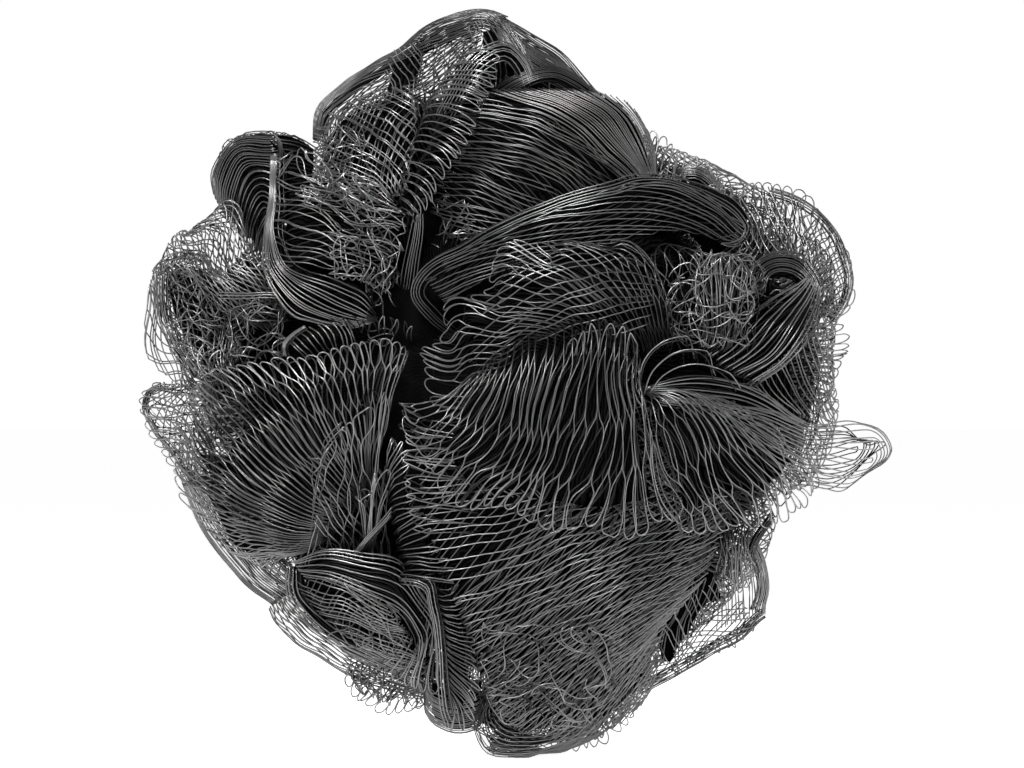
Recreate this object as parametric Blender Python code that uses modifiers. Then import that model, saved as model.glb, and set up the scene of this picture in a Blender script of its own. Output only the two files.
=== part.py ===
"""Bath sponge: folds of tubular plastic netting, gathered and tied at the middle.

The netting is drawn together in a waist, where a cord is wound round it and knotted.
From the waist every fold runs out to the surface and stands there as a ruffle. The
folds crowd into a ball, and the ball lies on the flat that its lowest folds make.

Frame: +X to the right and +Y away from the viewer who faces the eye of the gathers,
+Z up, origin on the surface that the sponge lies on, under the middle of its box.
"""

import math

import bmesh
import bpy
import numpy as np
from mathutils import Matrix, Vector

MM = 0.001

# Points nearer than this are one.
WELD = 0.001 * MM

# Overall size of the ball.
SPONGE_WIDTH = 140 * MM
SPONGE_DEPTH = 124 * MM
SPONGE_HEIGHT = 140 * MM

# The folds' layout below is drawn in millimetres from the ball's middle, on a ball of
# this width, depth and height, and follows the size above.
DRAWN_WIDTH = 140
DRAWN_DEPTH = 124
DRAWN_HEIGHT = 140

# Gathered netting at the middle, in two bunches with the tied waist between them.
BUNCH_RADIUS = 43 * MM
FLARE_LENGTH = 10 * MM
DOME_LENGTH = 24 * MM
EYE_RADIUS = 12 * MM
EYE_DEPTH = 7 * MM
WAIST_RADIUS = 6 * MM
WAIST_LENGTH = 9 * MM
GATHER_TILT = math.radians(16)
GATHER_LIFT = math.radians(5)
BUNCH_SIDES = 24

# Binding cord.
CORD_DIAMETER = 2 * MM
CORD_TURNS = 3
CORD_PITCH = 2.45 * MM
POINTS_PER_TURN = 16
KNOT_RADIUS = 2.6 * MM

# Folds. A fold's edges have a share of its thickness. It starts at its seat, inside the
# gathered netting, where it has a share of the width of its gathered side.
FOLD_THICKNESS = 4.2 * MM
EDGE_SHARE = 0.4
FOLD_CLEARANCE = 0.45 * MM
SEAT_DEPTH = 36 * MM
SEAT_SPREAD = 0.85

# Where a swollen copy's corners are sharp, they move out by this many clearances at most.
SHARPEST_SWELL = 2

# Folds on the back, which are laid out in rings round the back eye. A ring is its number
# of folds and, in degrees from the eye, its gathered sides and its rims. Widths are
# shares of a fold's share of its ring, and rises are shares of the ball's own radius.
BACK_RINGS = ((4, 40, 13), (5, 69, 38), (6, 84.5, 61.4))
BACK_SHIFT = math.radians(9.6)
BACK_SWAY = math.radians(5)
BACK_GATHERED_WIDTH = 0.56
BACK_RIM_WIDTH = 1.04
BACK_GATHERED_RISE = 0.88
BACK_RIM_RISE = 1.01
BACK_RIM_BOW = 0.45
BACK_CROWN = 4
BACK_RUFFLE = 1.6

# How far the ball reaches sideways from its middle, every 30 degrees from +X towards
# +Z, in drawn millimetres. The folds of the back stay inside it.
GIRTH = (60, 61, 51, 62, 60, 61, 65, 59, 60, 66, 58, 54)

NETTING_COLOUR = (0.012, 0.012, 0.013, 1)
CORD_COLOUR = (0.02, 0.02, 0.022, 1)

# Each fold: sections from its gathered side to its rim, and how far it crowns and
# ruffles. A section's points are (across, toward the viewer, up) from the middle.
# The first folds lie in front, and those after them give way.
FRONT_FOLDS = {
    "front_shell": (
        [
            [(-6, 47, -3), (3, 51, 4), (12, 53, 7), (22, 54, 6), (31, 52, 0)],
            [(-21, 43, -3), (-19, 49, -11), (-13, 54, -17), (-2, 59, -23), (11, 60, -27),
             (26, 58, -27), (39, 50, -26), (50, 40, -22), (55, 32, -18)],
        ],
        5, 1.2,
    ),
    "upper_shell": (
        [
            [(4, 48, 3), (10, 50, 6), (16, 51, 9), (21, 51, 11), (25, 50, 12)],
            [(-8, 44, -4), (-15, 44, 1), (-15, 46, 8), (-11, 48, 15), (-5, 49, 20),
             (4, 50, 24), (15, 49, 24), (24, 47, 21), (29, 45, 16)],
        ],
        4, 1.0,
    ),
    "twisted_ruffle": (
        [
            [(-22, 44, -11), (-22, 46, -22), (-21, 47, -31), (-20, 48, -36), (-15, 46, -45),
             (-12, 40, -54), (-13, 30, -62)],
            [(-19, 48, -13), (-17, 52, -24), (-13, 53, -30), (-10, 52, -37), (-7, 49, -43),
             (-6, 45, -50), (-6, 38, -58), (-8, 28, -65)],
        ],
        2, 1.0,
    ),
    "left_fan": (
        [
            [(-30, 42, -10), (-34, 43, -16), (-36, 42, -22), (-38, 38, -28)],
            [(-19, 40, 0), (-21, 42, 6), (-27, 43, 8), (-35, 42, 6), (-44, 38, 4),
             (-52, 32, 3), (-58, 25, -1), (-61, 20, -9), (-61, 18, -17), (-56, 20, -26),
             (-48, 24, -32)],
        ],
        5, 1.0,
    ),
    "long_fold": (
        [
            [(-1, 40, 31), (-10, 40, 26), (-18, 38, 21), (-18, 38, 16), (-14, 40, 11)],
            [(12, 42, 37), (8, 46, 34), (4, 48, 29), (4, 47, 25), (6, 42, 22)],
            [(30, 36, 38), (38, 34, 36), (44, 31, 32), (45, 29, 28), (42, 31, 25),
             (32, 36, 24)],
        ],
        2, 0.6,
    ),
    "lower_front": (
        [
            [(43, 32, -28), (36, 36, -38), (28, 34, -50), (22, 28, -60)],
            [(10, 56, -20), (12, 55, -34), (10, 48, -50), (8, 36, -63)],
            [(-18, 48, -13), (-17, 50, -23), (-12, 50, -33), (-7, 47, -44), (-5, 40, -55),
             (-2, 30, -64)],
        ],
        0, 0.8,
    ),
    "right_spike": (
        [
            [(23, 50, 6), (27, 51, 0), (28, 49, -7)],
            [(48, 36, -1), (50, 34, -12), (46, 34, -24)],
            [(60, 22, -7), (68, 18, -9), (70, 16, -12), (68, 15, -16), (58, 18, -21)],
        ],
        0, 0.5,
    ),
    "top_ruffle": (
        [
            [(-9, 28, 61), (-13, 33, 54), (-16, 37, 46), (-19, 38, 36)],
            [(-1, 31, 62), (-2, 36, 55), (-5, 41, 47), (-10, 43, 39), (-17, 41, 32)],
        ],
        3, 0.6,
    ),
    "inner_mesh": (
        [
            [(-33, 33, -29), (-28, 34, -30)],
            [(-35, 36, -14), (-31, 38, -7), (-26, 39, -6), (-23, 38, -13)],
        ],
        3, 0.8,
    ),
    "lower_left_pocket": (
        [
            [(-14, 40, -46), (-14, 38, -50), (-15, 34, -54)],
            [(-20, 44, -33), (-26, 42, -42), (-24, 34, -53)],
            [(-31, 40, -31), (-38, 36, -33), (-41, 32, -37), (-38, 30, -43), (-31, 29, -49)],
        ],
        0, 0.6,
    ),
    "upper_fan": (
        [
            [(20, 30, 50), (24, 31, 45), (23, 34, 38)],
            [(-4, 34, 54), (-8, 37, 47), (-12, 38, 40), (-15, 37, 33), (-13, 36, 27),
             (-2, 38, 28)],
        ],
        6, 0.4,
    ),
    "loose_loops": (
        [
            [(-22, 34, 36), (-20, 36, 30), (-21, 36, 24)],
            [(-30, 32, 41), (-38, 32, 40), (-45, 30, 38), (-43, 33, 30), (-40, 35, 24),
             (-31, 38, 20)],
        ],
        6, 1.4,
    ),
    "crescent_roll": (
        [
            [(-46, 27, 38), (-43, 31, 38)],
            [(-48, 28, 24), (-42, 35, 25)],
            [(-44, 30, 13), (-38, 38, 18)],
            [(-34, 34, 9), (-30, 40, 17)],
            [(-24, 34, 12), (-24, 38, 20)],
        ],
        0, 0,
    ),
    "small_pipe": (
        [
            [(-20, 36, 12), (-20, 38, 8)],
            [(-31, 36, 12), (-31, 39, 7)],
            [(-40, 33, 11), (-43, 34, 8), (-41, 35, 5)],
        ],
        0, 0,
    ),
    "right_roll": (
        [
            [(42, 30, 20), (45, 33, 17)],
            [(53, 20, 24), (50, 30, 19)],
            [(58, 20, 17), (53, 30, 14)],
            [(55, 22, 5), (50, 32, 6)],
            [(42, 32, -1), (40, 37, 4)],
        ],
        0, 0,
    ),
    "small_loops": (
        [
            [(28, 36, 7), (36, 38, 7), (44, 34, 7)],
            [(27, 38, 15), (30, 40, 21), (36, 40, 24), (42, 38, 22), (46, 36, 15)],
        ],
        0, 0.4,
    ),
    "right_side_mesh": (
        [
            [(48, 14, 22), (56, 10, 20), (60, 2, 18)],
            [(50, 26, 6), (57, 16, 6), (60, 6, 6)],
            [(46, 28, -6), (54, 20, -9), (58, 8, -9)],
        ],
        0, 0.8,
    ),
    "top_left_veil": (
        [
            [(-34, 22, 37), (-28, 27, 34), (-21, 31, 33)],
            [(-35, 20, 46), (-31, 23, 52), (-24, 25, 57), (-19, 27, 58), (-16, 31, 50),
             (-17, 35, 42)],
        ],
        3, 0.6,
    ),
    "top_tent_left": (
        [
            [(-7, 6, 68), (-8, 16, 65), (-11, 24, 60), (-14, 29, 52)],
            [(-33, 4, 56), (-37, 6, 51), (-38, 8, 46), (-34, 13, 40), (-28, 20, 34)],
        ],
        5, 0.6,
    ),
    "top_tent_right": (
        [
            [(-2, 5.4, 67), (-1, 14.4, 65), (1, 22.4, 61), (2, 27.4, 57)],
            [(8, 4.5, 62), (15, 8.5, 55), (15, 16.5, 53), (7, 24.5, 53), (0, 30.5, 54)],
        ],
        3, 0.4,
    ),
    "left_knob": (
        [
            [(-36, 10.8, 46), (-38, 16.8, 44), (-41, 21.8, 40)],
            [(-50, 1, 48), (-57, 9, 40), (-50, 21, 36)],
            [(-52, 5.1, 28), (-48, 13.1, 25), (-43, 18.1, 27)],
        ],
        2, 0,
    ),
    "left_mid_mesh": (
        [
            [(-44, 20.4, 20), (-43, 22.4, 14), (-45, 22.4, 8)],
            [(-50, 13.1, 33), (-57, 9.1, 32), (-62, 9.1, 26), (-63, 11.1, 18),
             (-60, 15.1, 9), (-53, 19.1, 4)],
        ],
        5, 1.0,
    ),
    "left_outer_roll": (
        [
            [(-58, 0.9, 20), (-60, 2.9, 12), (-58, 4.9, 3)],
            [(-64, 0, 24), (-68, 0, 19), (-70, 1, 11), (-68, 2, 4), (-63, 4, 1)],
        ],
        2, 0.8,
    ),
    "left_low_veil": (
        [
            [(-56, 4, -2), (-56, 6, -10), (-55, 8, -18)],
            [(-64, 2, -1), (-69, 2, -3), (-69, 3, -8), (-65, 5, -14), (-60, 7, -19)],
        ],
        2, 0.6,
    ),
    "left_low_edge": (
        [
            [(-46, 8, -16), (-42, 12, -26), (-36, 16, -36)],
            [(-61, 6, -19), (-59, 6, -26), (-52, 8, -35), (-44, 10, -42)],
        ],
        3, 0.6,
    ),
    "lower_left_veil": (
        [
            [(-38, 20, -36), (-30, 22, -44), (-20, 22, -50)],
            [(-45, 12, -41), (-41, 10, -49), (-31, 8, -57), (-21, 8, -61), (-13, 12, -61)],
        ],
        3, 0.8,
    ),
    "bottom_roll": (
        [
            [(27, -16, -62), (30, 2, -63), (27, 20, -60)],
            [(17, -20, -68.6), (19, 2, -68.8), (16, 25, -67.5)],
            [(4, -21, -68.8), (5, 2, -68.8), (5, 27, -68)],
            [(-7, -17, -69), (-9, 4, -69.3), (-8, 24, -67)],
        ],
        0, 0,
    ),
    "bottom_veil": (
        [
            [(12, 0, -58), (20, 2, -56), (26, 4, -52)],
            [(8, -4, -69), (16, -4, -69), (23, -2, -65), (25, 0, -60)],
        ],
        2, 0.8,
    ),
    "lower_right_veil": (
        [
            [(38, 14, -28), (30, 18, -38), (24, 16, -48)],
            [(45, 8, -30), (49, 6, -38), (46, 6, -45), (37, 6, -50), (27, 8, -56)],
        ],
        3, 0.8,
    ),
    "upper_right_back": (
        [
            [(20, 11.1, 40), (28, 15.1, 34), (36, 15.1, 28)],
            [(25, 8.2, 50), (31, 10.2, 43), (37, 12.2, 41), (41, 14.2, 36), (43, 16.2, 30)],
        ],
        3, 0.8,
    ),
    "right_outer_veil": (
        [
            [(40, 7, 24), (46, 9, 18), (50, 9, 12)],
            [(43, -3.9, 35), (50, -3.9, 37), (56, -4.9, 35), (61, -4.9, 30),
             (64, -4.9, 23), (63, -3.9, 17), (59, -1.9, 12)],
        ],
        2, 0.8,
    ),
    "right_small_veil": (
        [
            [(50, -6.8, 10), (52, -6.8, 4)],
            [(58, -8.8, 12), (62, -9.8, 9), (63, -9.8, 5), (60, -8.8, 1)],
        ],
        1, 0.4,
    ),
}


def clear_scene():
    """Empties the scene and returns the collections of the parts and of the cutters."""
    for obj in list(bpy.data.objects):
        bpy.data.objects.remove(obj)
    found = []
    for name in ("bath_sponge", "cutters"):
        collection = bpy.data.collections.new(name)
        bpy.context.scene.collection.children.link(collection)
        found.append(collection)
    return found


def plastic(name, colour, roughness):
    """A plain plastic of that colour."""
    material = bpy.data.materials.new(name)
    material.diffuse_color = colour
    material.use_nodes = True
    shader = material.node_tree.nodes["Principled BSDF"]
    shader.inputs["Base Color"].default_value = colour
    shader.inputs["Roughness"].default_value = roughness
    shader.inputs["Metallic"].default_value = 0
    return material


def placed(points):
    """Drawn points, (across, toward the viewer, up), as metres in the ball's frame."""
    drawn = np.asarray(points, float)
    return np.stack(
        [
            drawn[..., 0] * SPONGE_WIDTH / DRAWN_WIDTH,
            -drawn[..., 1] * SPONGE_DEPTH / DRAWN_DEPTH,
            drawn[..., 2] * SPONGE_HEIGHT / DRAWN_HEIGHT,
        ],
        axis=-1,
    )


def through(points, shares):
    """The smooth curve through points, read at shares of its length.

    It is a cubic Hermite curve whose slope at each point is the central difference.
    Points may be whole rows, and then the curve carries each row to the next.
    """
    points = np.asarray(points, float)
    steps = np.linalg.norm(np.diff(points, axis=0), axis=-1)
    steps = steps.reshape(len(steps), -1).mean(axis=1)
    knots = np.concatenate([[0], np.cumsum(steps)]) / steps.sum()
    slopes = np.gradient(points, knots, axis=0)
    before = np.clip(np.searchsorted(knots, shares, side="right") - 1, 0, len(knots) - 2)
    width = knots[before + 1] - knots[before]
    s = (shares - knots[before]) / width
    shape = (-1,) + (1,) * (points.ndim - 1)
    s, width = s.reshape(shape), width.reshape(shape)
    return (
        (2 * s**3 - 3 * s**2 + 1) * points[before]
        + (s**3 - 2 * s**2 + s) * width * slopes[before]
        + (3 * s**2 - 2 * s**3) * points[before + 1]
        + (s**3 - s**2) * width * slopes[before + 1]
    )


def seat_section(section):
    """The start of a fold, in the gathered netting under its first drawn section."""
    middle = section.mean(axis=0)
    inward = middle / np.linalg.norm(middle)
    return inward * SEAT_DEPTH + (section - middle) * SEAT_SPREAD


def fold_surface(sections, crown, ruffle, across, along):
    """The middle surface of a fold as a grid of points, rows from its seat to its rim.

    It is a loft through the sections, pushed out along its normals by a crown, which is
    a half sine both ways, and by a ruffle, a sine along the rim that grows towards it.
    """
    u = np.linspace(0, 1, across)
    v = np.linspace(0, 1, along)
    rows = [through(section, u) for section in map(placed, sections)]
    surface = through([seat_section(rows[0]), *rows], v)
    normals = np.cross(np.gradient(surface, axis=1), np.gradient(surface, axis=0))
    normals /= np.linalg.norm(normals, axis=-1, keepdims=True)
    if (normals * surface).sum() < 0:
        normals = -normals
    lift = crown * MM * np.outer(np.sin(math.pi * v), np.sin(math.pi * u))
    waves = (len(sections[-1]) - 2) / 2
    lift += ruffle * MM * np.outer(v**2, np.sin(2 * math.pi * waves * u))
    return surface + normals * lift[..., None]


def fold_fullness(across, along):
    """How full a fold is at each point of its grid: thin at its sides and its rim."""
    u = np.linspace(0, 1, across)
    v = np.linspace(0, 1, along)
    sides = np.sqrt(np.clip(np.sin(math.pi * u), 0, 1))
    rim = np.sqrt(np.clip(1 - v**4, 0, 1))
    return np.outer(rim, sides)


def fold_object(name, surface, fullness, collection):
    """A grid laid on the surface, made solid to either side of it."""
    along, across = surface.shape[:2]
    mesh = bpy.data.meshes.new(name)
    grid = bmesh.new()
    bmesh.ops.create_grid(grid, x_segments=across - 1, y_segments=along - 1, size=0.5)
    weights = []
    for vert in grid.verts:
        column = round((vert.co.x + 0.5) * (across - 1))
        row = round((vert.co.y + 0.5) * (along - 1))
        vert.co = surface[row, column]
        weights.append(fullness[row, column])
    grid.to_mesh(mesh)
    grid.free()
    obj = bpy.data.objects.new(name, mesh)
    collection.objects.link(obj)
    full = obj.vertex_groups.new(name="fullness")
    for index, weight in enumerate(weights):
        full.add([index], float(weight), "REPLACE")
    wall = obj.modifiers.new("wall", "SOLIDIFY")
    wall.thickness = FOLD_THICKNESS
    wall.offset = 0
    wall.use_even_offset = False
    wall.vertex_group = full.name
    wall.thickness_vertex_group = EDGE_SHARE
    return obj


def made_solid(obj, collection, material=None):
    """The object with its modifiers and its place applied to its own mesh.

    Its faces are split to triangles, so that a swollen copy bends along the same edges.
    """
    bpy.context.view_layer.update()
    graph = bpy.context.evaluated_depsgraph_get()
    mesh = bpy.data.meshes.new_from_object(obj.evaluated_get(graph))
    mesh.transform(obj.matrix_world)
    name = obj.name
    bpy.data.objects.remove(obj)
    mesh.name = name
    solid = bpy.data.objects.new(name, mesh)
    collection.objects.link(solid)
    tidy = bmesh.new()
    tidy.from_mesh(mesh)
    bmesh.ops.remove_doubles(tidy, verts=tidy.verts, dist=WELD)
    bmesh.ops.triangulate(tidy, faces=tidy.faces)
    bmesh.ops.recalc_face_normals(tidy, faces=tidy.faces)
    tidy.to_mesh(mesh)
    tidy.free()
    if material:
        mesh.materials.clear()
        mesh.materials.append(material)
    return solid


def swollen(obj, by, collection):
    """A hidden copy of a solid, grown by that much all round, which cuts its neighbours."""
    mesh = obj.data.copy()
    grown = bmesh.new()
    grown.from_mesh(mesh)
    grown.normal_update()
    places = [
        vert.co + vert.normal * by * min(vert.calc_shell_factor(), SHARPEST_SWELL)
        for vert in grown.verts
    ]
    for vert, place in zip(grown.verts, places):
        vert.co = place
    grown.to_mesh(mesh)
    grown.free()
    cutter = bpy.data.objects.new(obj.name + "_room", mesh)
    collection.objects.link(cutter)
    cutter.hide_render = True
    cutter.display_type = "WIRE"
    return cutter


def corners(obj):
    """Lowest and highest corner of an object whose place is in its mesh."""
    points = np.array([vert.co for vert in obj.data.vertices])
    return points.min(axis=0), points.max(axis=0)


def boxes_meet(one, other):
    """Whether the boxes of two objects meet."""
    low, high = corners(one)
    other_low, other_high = corners(other)
    return bool((low < other_high).all() and (other_low < high).all())


def largest_body(obj):
    """Drops the scraps that a cut leaves beside the main body of a solid."""
    cut = bmesh.new()
    cut.from_mesh(obj.data)
    left = set(cut.faces)
    bodies = []
    while left:
        body, edge = set(), {left.pop()}
        while edge:
            face = edge.pop()
            body.add(face)
            near = {other for line in face.edges for other in line.link_faces}
            edge |= near & left
            left -= near
        bodies.append(body)
    bodies.sort(key=lambda body: sum(face.calc_area() for face in body))
    scraps = [face for body in bodies[:-1] for face in body]
    bmesh.ops.delete(cut, geom=scraps, context="FACES")
    cut.to_mesh(obj.data)
    cut.free()


def give_way(obj, cutters, collection, material):
    """Cuts a solid back from each of the cutters that its box meets.

    Thin folds cross at shallow angles, which the EXACT solver now and then gets wrong.
    """
    for cutter in cutters:
        if not boxes_meet(obj, cutter):
            continue
        cut = obj.modifiers.new(cutter.name, "BOOLEAN")
        cut.operation = "DIFFERENCE"
        cut.solver = "MANIFOLD"
        cut.object = cutter
    solid = made_solid(obj, collection, material)
    largest_body(solid)
    solid.data.shade_smooth()
    return solid


def gather_axes():
    """The matrix that turns +Z to the axis of the gathers, towards the front eye."""
    tilt = Matrix.Rotation(-GATHER_TILT, 4, "Z")
    lift = Matrix.Rotation(-GATHER_LIFT, 4, "X")
    forward = Matrix.Rotation(math.pi / 2, 4, "X")
    return tilt @ lift @ forward


def turned(name, profile, steps, collection):
    """A solid of revolution about Z from a profile of (radius, height) points."""
    mesh = bpy.data.meshes.new(name)
    mesh.from_pydata(
        [(radius, 0, height) for radius, height in profile],
        [(i, i + 1) for i in range(len(profile) - 1)],
        [],
    )
    obj = bpy.data.objects.new(name, mesh)
    collection.objects.link(obj)
    spin = obj.modifiers.new("turn", "SCREW")
    spin.steps = steps
    spin.render_steps = steps
    spin.use_merge_vertices = True
    spin.merge_threshold = WELD
    return obj


def gathered_netting(collection, material):
    """The drawn-in netting at the middle: two round bunches joined by the tied waist.

    Each bunch flares from the waist in a quarter ellipse and closes in another, down to
    the rim of its eye, where the netting dips.
    """
    foot = WAIST_LENGTH / 2
    belt = foot + FLARE_LENGTH
    flare = [
        (
            WAIST_RADIUS + (BUNCH_RADIUS - WAIST_RADIUS) * math.sin(angle),
            belt - FLARE_LENGTH * math.cos(angle),
        )
        for angle in np.linspace(0, math.pi / 2, 4)
    ]
    dome = [
        (
            EYE_RADIUS + (BUNCH_RADIUS - EYE_RADIUS) * math.cos(angle),
            belt + DOME_LENGTH * math.sin(angle),
        )
        for angle in np.linspace(0, math.pi / 2, 6)[1:]
    ]
    eye = (0, belt + DOME_LENGTH - EYE_DEPTH)
    upper = [eye, *reversed(flare + dome)]
    profile = upper + [(radius, -height) for radius, height in reversed(upper)]
    obj = turned("gathered_waist", profile, BUNCH_SIDES, collection)
    obj.matrix_world = gather_axes()
    return made_solid(obj, collection, material)


def binding_cord(collection, material):
    """The cord that ties the waist: one helix, CORD_TURNS turns at CORD_PITCH."""
    radius = WAIST_RADIUS + CORD_DIAMETER / 2 + FOLD_CLEARANCE
    curve = bpy.data.curves.new("binding_cord", "CURVE")
    curve.dimensions = "3D"
    curve.bevel_depth = CORD_DIAMETER / 2
    curve.bevel_resolution = 1
    curve.use_fill_caps = True
    line = curve.splines.new("POLY")
    count = CORD_TURNS * POINTS_PER_TURN + 1
    line.points.add(count - 1)
    for index, point in enumerate(line.points):
        turn = index / POINTS_PER_TURN
        angle = 2 * math.pi * turn
        height = (turn - CORD_TURNS / 2) * CORD_PITCH
        point.co = (radius * math.cos(angle), radius * math.sin(angle), height, 1)
    obj = bpy.data.objects.new("binding_cord", curve)
    collection.objects.link(obj)
    obj.matrix_world = gather_axes()
    return made_solid(obj, collection, material)


def binding_knot(collection, material):
    """The knot that locks the cord, a round lump just outside its turns."""
    reach = WAIST_RADIUS + CORD_DIAMETER + 2 * FOLD_CLEARANCE + KNOT_RADIUS
    place = gather_axes() @ Matrix.Translation((0, reach, 0))
    mesh = bpy.data.meshes.new("binding_knot")
    lump = bmesh.new()
    bmesh.ops.create_uvsphere(lump, u_segments=12, v_segments=8, radius=KNOT_RADIUS)
    lump.to_mesh(mesh)
    lump.free()
    mesh.transform(place)
    obj = bpy.data.objects.new("binding_knot", mesh)
    collection.objects.link(obj)
    mesh.materials.append(material)
    return obj


def girth_at(angle):
    """How far the ball reaches sideways at an angle from +X towards +Z, drawn."""
    step = 2 * math.pi / len(GIRTH)
    share = (angle / step) % len(GIRTH)
    before = int(share)
    after = (before + 1) % len(GIRTH)
    blend = (1 - math.cos(math.pi * (share - before))) / 2
    return GIRTH[before] * (1 - blend) + GIRTH[after] * blend


def back_point(polar, angle, rise):
    """A drawn point on the back of the ball, by its angle from the back eye."""
    reach = girth_at(angle) * rise * math.sin(polar)
    depth = DRAWN_DEPTH / 2 * rise * math.cos(polar)
    shift = DRAWN_WIDTH / 2 * math.sin(BACK_SHIFT) * math.cos(polar)
    return (reach * math.cos(angle) + shift, -depth, reach * math.sin(angle))


def back_folds():
    """The folds of the back, ring by ring: rims bow to the back eye and lie over the next.

    Each fold is turned and drawn in a little, by the sine of its number in radians.
    """
    found = {}
    for ring, (count, gathered, rim) in enumerate(BACK_RINGS):
        share = 2 * math.pi / count
        for index in range(count):
            sway = BACK_SWAY * math.sin(len(found))
            centre = share * (index + ring / 2) + sway
            start = math.radians(gathered)
            reach = start - math.radians(rim) - sway
            across = share * BACK_GATHERED_WIDTH * np.linspace(-0.5, 0.5, 3)
            low = [back_point(start, centre + turn, BACK_GATHERED_RISE) for turn in across]
            high = []
            for side in np.linspace(-0.5, 0.5, 5):
                bow = 1 - BACK_RIM_BOW * (1 - math.cos(math.pi * side))
                turn = share * BACK_RIM_WIDTH * side
                high.append(back_point(start - reach * bow, centre + turn, BACK_RIM_RISE))
            name = f"back_fold_{len(found) + 1:02d}"
            found[name] = ([low, high], BACK_CROWN, BACK_RUFFLE)
    return found


def floor_cutter(collection):
    """The block under the resting flat, which trims the lowest folds."""
    top = -SPONGE_HEIGHT / 2
    depth = SPONGE_HEIGHT / 4
    mesh = bpy.data.meshes.new("floor_room")
    block = bmesh.new()
    bmesh.ops.create_cube(block, size=1)
    bmesh.ops.scale(block, vec=(2 * SPONGE_WIDTH, 2 * SPONGE_DEPTH, depth), verts=block.verts)
    bmesh.ops.translate(block, vec=(0, 0, top - depth / 2), verts=block.verts)
    block.to_mesh(mesh)
    block.free()
    obj = bpy.data.objects.new("floor_room", mesh)
    collection.objects.link(obj)
    obj.hide_render = True
    obj.display_type = "WIRE"
    return obj


def set_on_floor(parts):
    """Moves the parts so that the origin is at the bottom middle of their box."""
    boxes = np.array([corners(part) for part in parts])
    low, high = boxes[:, 0].min(axis=0), boxes[:, 1].max(axis=0)
    base = Vector(((low[0] + high[0]) / 2, (low[1] + high[1]) / 2, low[2]))
    for part in parts:
        part.data.transform(Matrix.Translation(-base))


def main():
    parts, cutters = clear_scene()
    netting = plastic("netting", NETTING_COLOUR, 0.4)
    cord = plastic("cord", CORD_COLOUR, 0.7)
    waist = gathered_netting(parts, netting)
    tie = [binding_cord(parts, cord), binding_knot(parts, cord)]
    room = [swollen(waist, FOLD_CLEARANCE, cutters)]
    room += [swollen(piece, FOLD_CLEARANCE, cutters) for piece in tie]
    room.append(floor_cutter(cutters))
    solids = [waist, *tie]
    for name, (sections, crown, ruffle) in {**FRONT_FOLDS, **back_folds()}.items():
        across = len(sections[-1]) + 1
        along = 3 + len(sections)
        surface = fold_surface(sections, crown, ruffle, across, along)
        fullness = fold_fullness(across, along)
        whole = made_solid(fold_object(name, surface, fullness, parts), parts)
        cutter = swollen(whole, FOLD_CLEARANCE, cutters)
        solids.append(give_way(whole, room, parts, netting))
        room.append(cutter)
    set_on_floor(solids)


main()
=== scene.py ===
"""Looks of a black netting bath sponge: every fold is open netting made of single strands."""

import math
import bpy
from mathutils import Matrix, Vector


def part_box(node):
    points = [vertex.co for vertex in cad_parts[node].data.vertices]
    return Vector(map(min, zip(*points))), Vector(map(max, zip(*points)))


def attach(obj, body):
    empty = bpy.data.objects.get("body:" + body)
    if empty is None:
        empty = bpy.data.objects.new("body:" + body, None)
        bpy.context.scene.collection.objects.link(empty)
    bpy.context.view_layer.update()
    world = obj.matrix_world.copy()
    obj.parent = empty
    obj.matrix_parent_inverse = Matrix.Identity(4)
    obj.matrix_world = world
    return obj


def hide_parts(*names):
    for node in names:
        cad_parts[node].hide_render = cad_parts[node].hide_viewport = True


bl_info = {
    "name": "Netting bath sponge",
    "version": (1, 0, 0),
    "blender": (4, 5, 0),
    "location": "3D Viewport > Sidebar > Sponge",
    "description": "Builds a gathered netting sponge, fold by fold, round its solid parts",
    "category": "Add Mesh",
}

from types import SimpleNamespace

import bpy
import numpy as np
from mathutils import Vector

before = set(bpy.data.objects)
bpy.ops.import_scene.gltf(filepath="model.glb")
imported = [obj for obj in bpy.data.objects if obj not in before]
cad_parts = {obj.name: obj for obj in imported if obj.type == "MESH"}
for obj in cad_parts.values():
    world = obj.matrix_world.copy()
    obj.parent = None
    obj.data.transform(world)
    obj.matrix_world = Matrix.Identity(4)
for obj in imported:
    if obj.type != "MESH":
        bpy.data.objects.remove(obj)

MM = 0.001
NO_FACES = np.zeros((0, 3), int)
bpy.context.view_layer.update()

# The folds are drawn as (right, down, toward the viewer): the first two in steps from a
# corner at the upper left, the third in millimetres from the ball's middle, where the
# gathered netting is centred.
WAIST_LOW, WAIST_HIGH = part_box("gathered_waist")
MIDDLE = (np.array(WAIST_LOW) + np.array(WAIST_HIGH)) / 2
STEP = 0.18868 * MM
MIDDLE_DRAWN = (511, 383.5, 0)

# The fine grid on which a fold's surface is worked out, across and along.
GRID_ACROSS, GRID_ALONG = 97, 81

# Where a fold starts, inside the gathered netting.
SEAT_DEPTH = 36
SEAT_SPREAD = 0.85

# The rim gets its points this much closer together than the seat does.
RIM_FOCUS = 2.2

# Millimetres between the points of a strand, and between those of a tangled one, which has
# this many.
STRAND_STEP = 1.1
TANGLE_STEP, TANGLE_POINTS = 0.8, 64
STRAND_SIDES = 3

# The lengths of the waves, in millimetres: of a rim's frill, of what bends a whole sheet, of
# what bends a strand, and of one radian of a strand's sway.
FRILL_WAVE, SHEET_WAVE, STRAND_WAVE, SWAY_RADIAN = 7, 14, 9, 9

# The lining has this many points across and along, and is half this thick, in millimetres.
LINING_ACROSS, LINING_ALONG = 29, 25
LINING_HALF = 0.4


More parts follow.
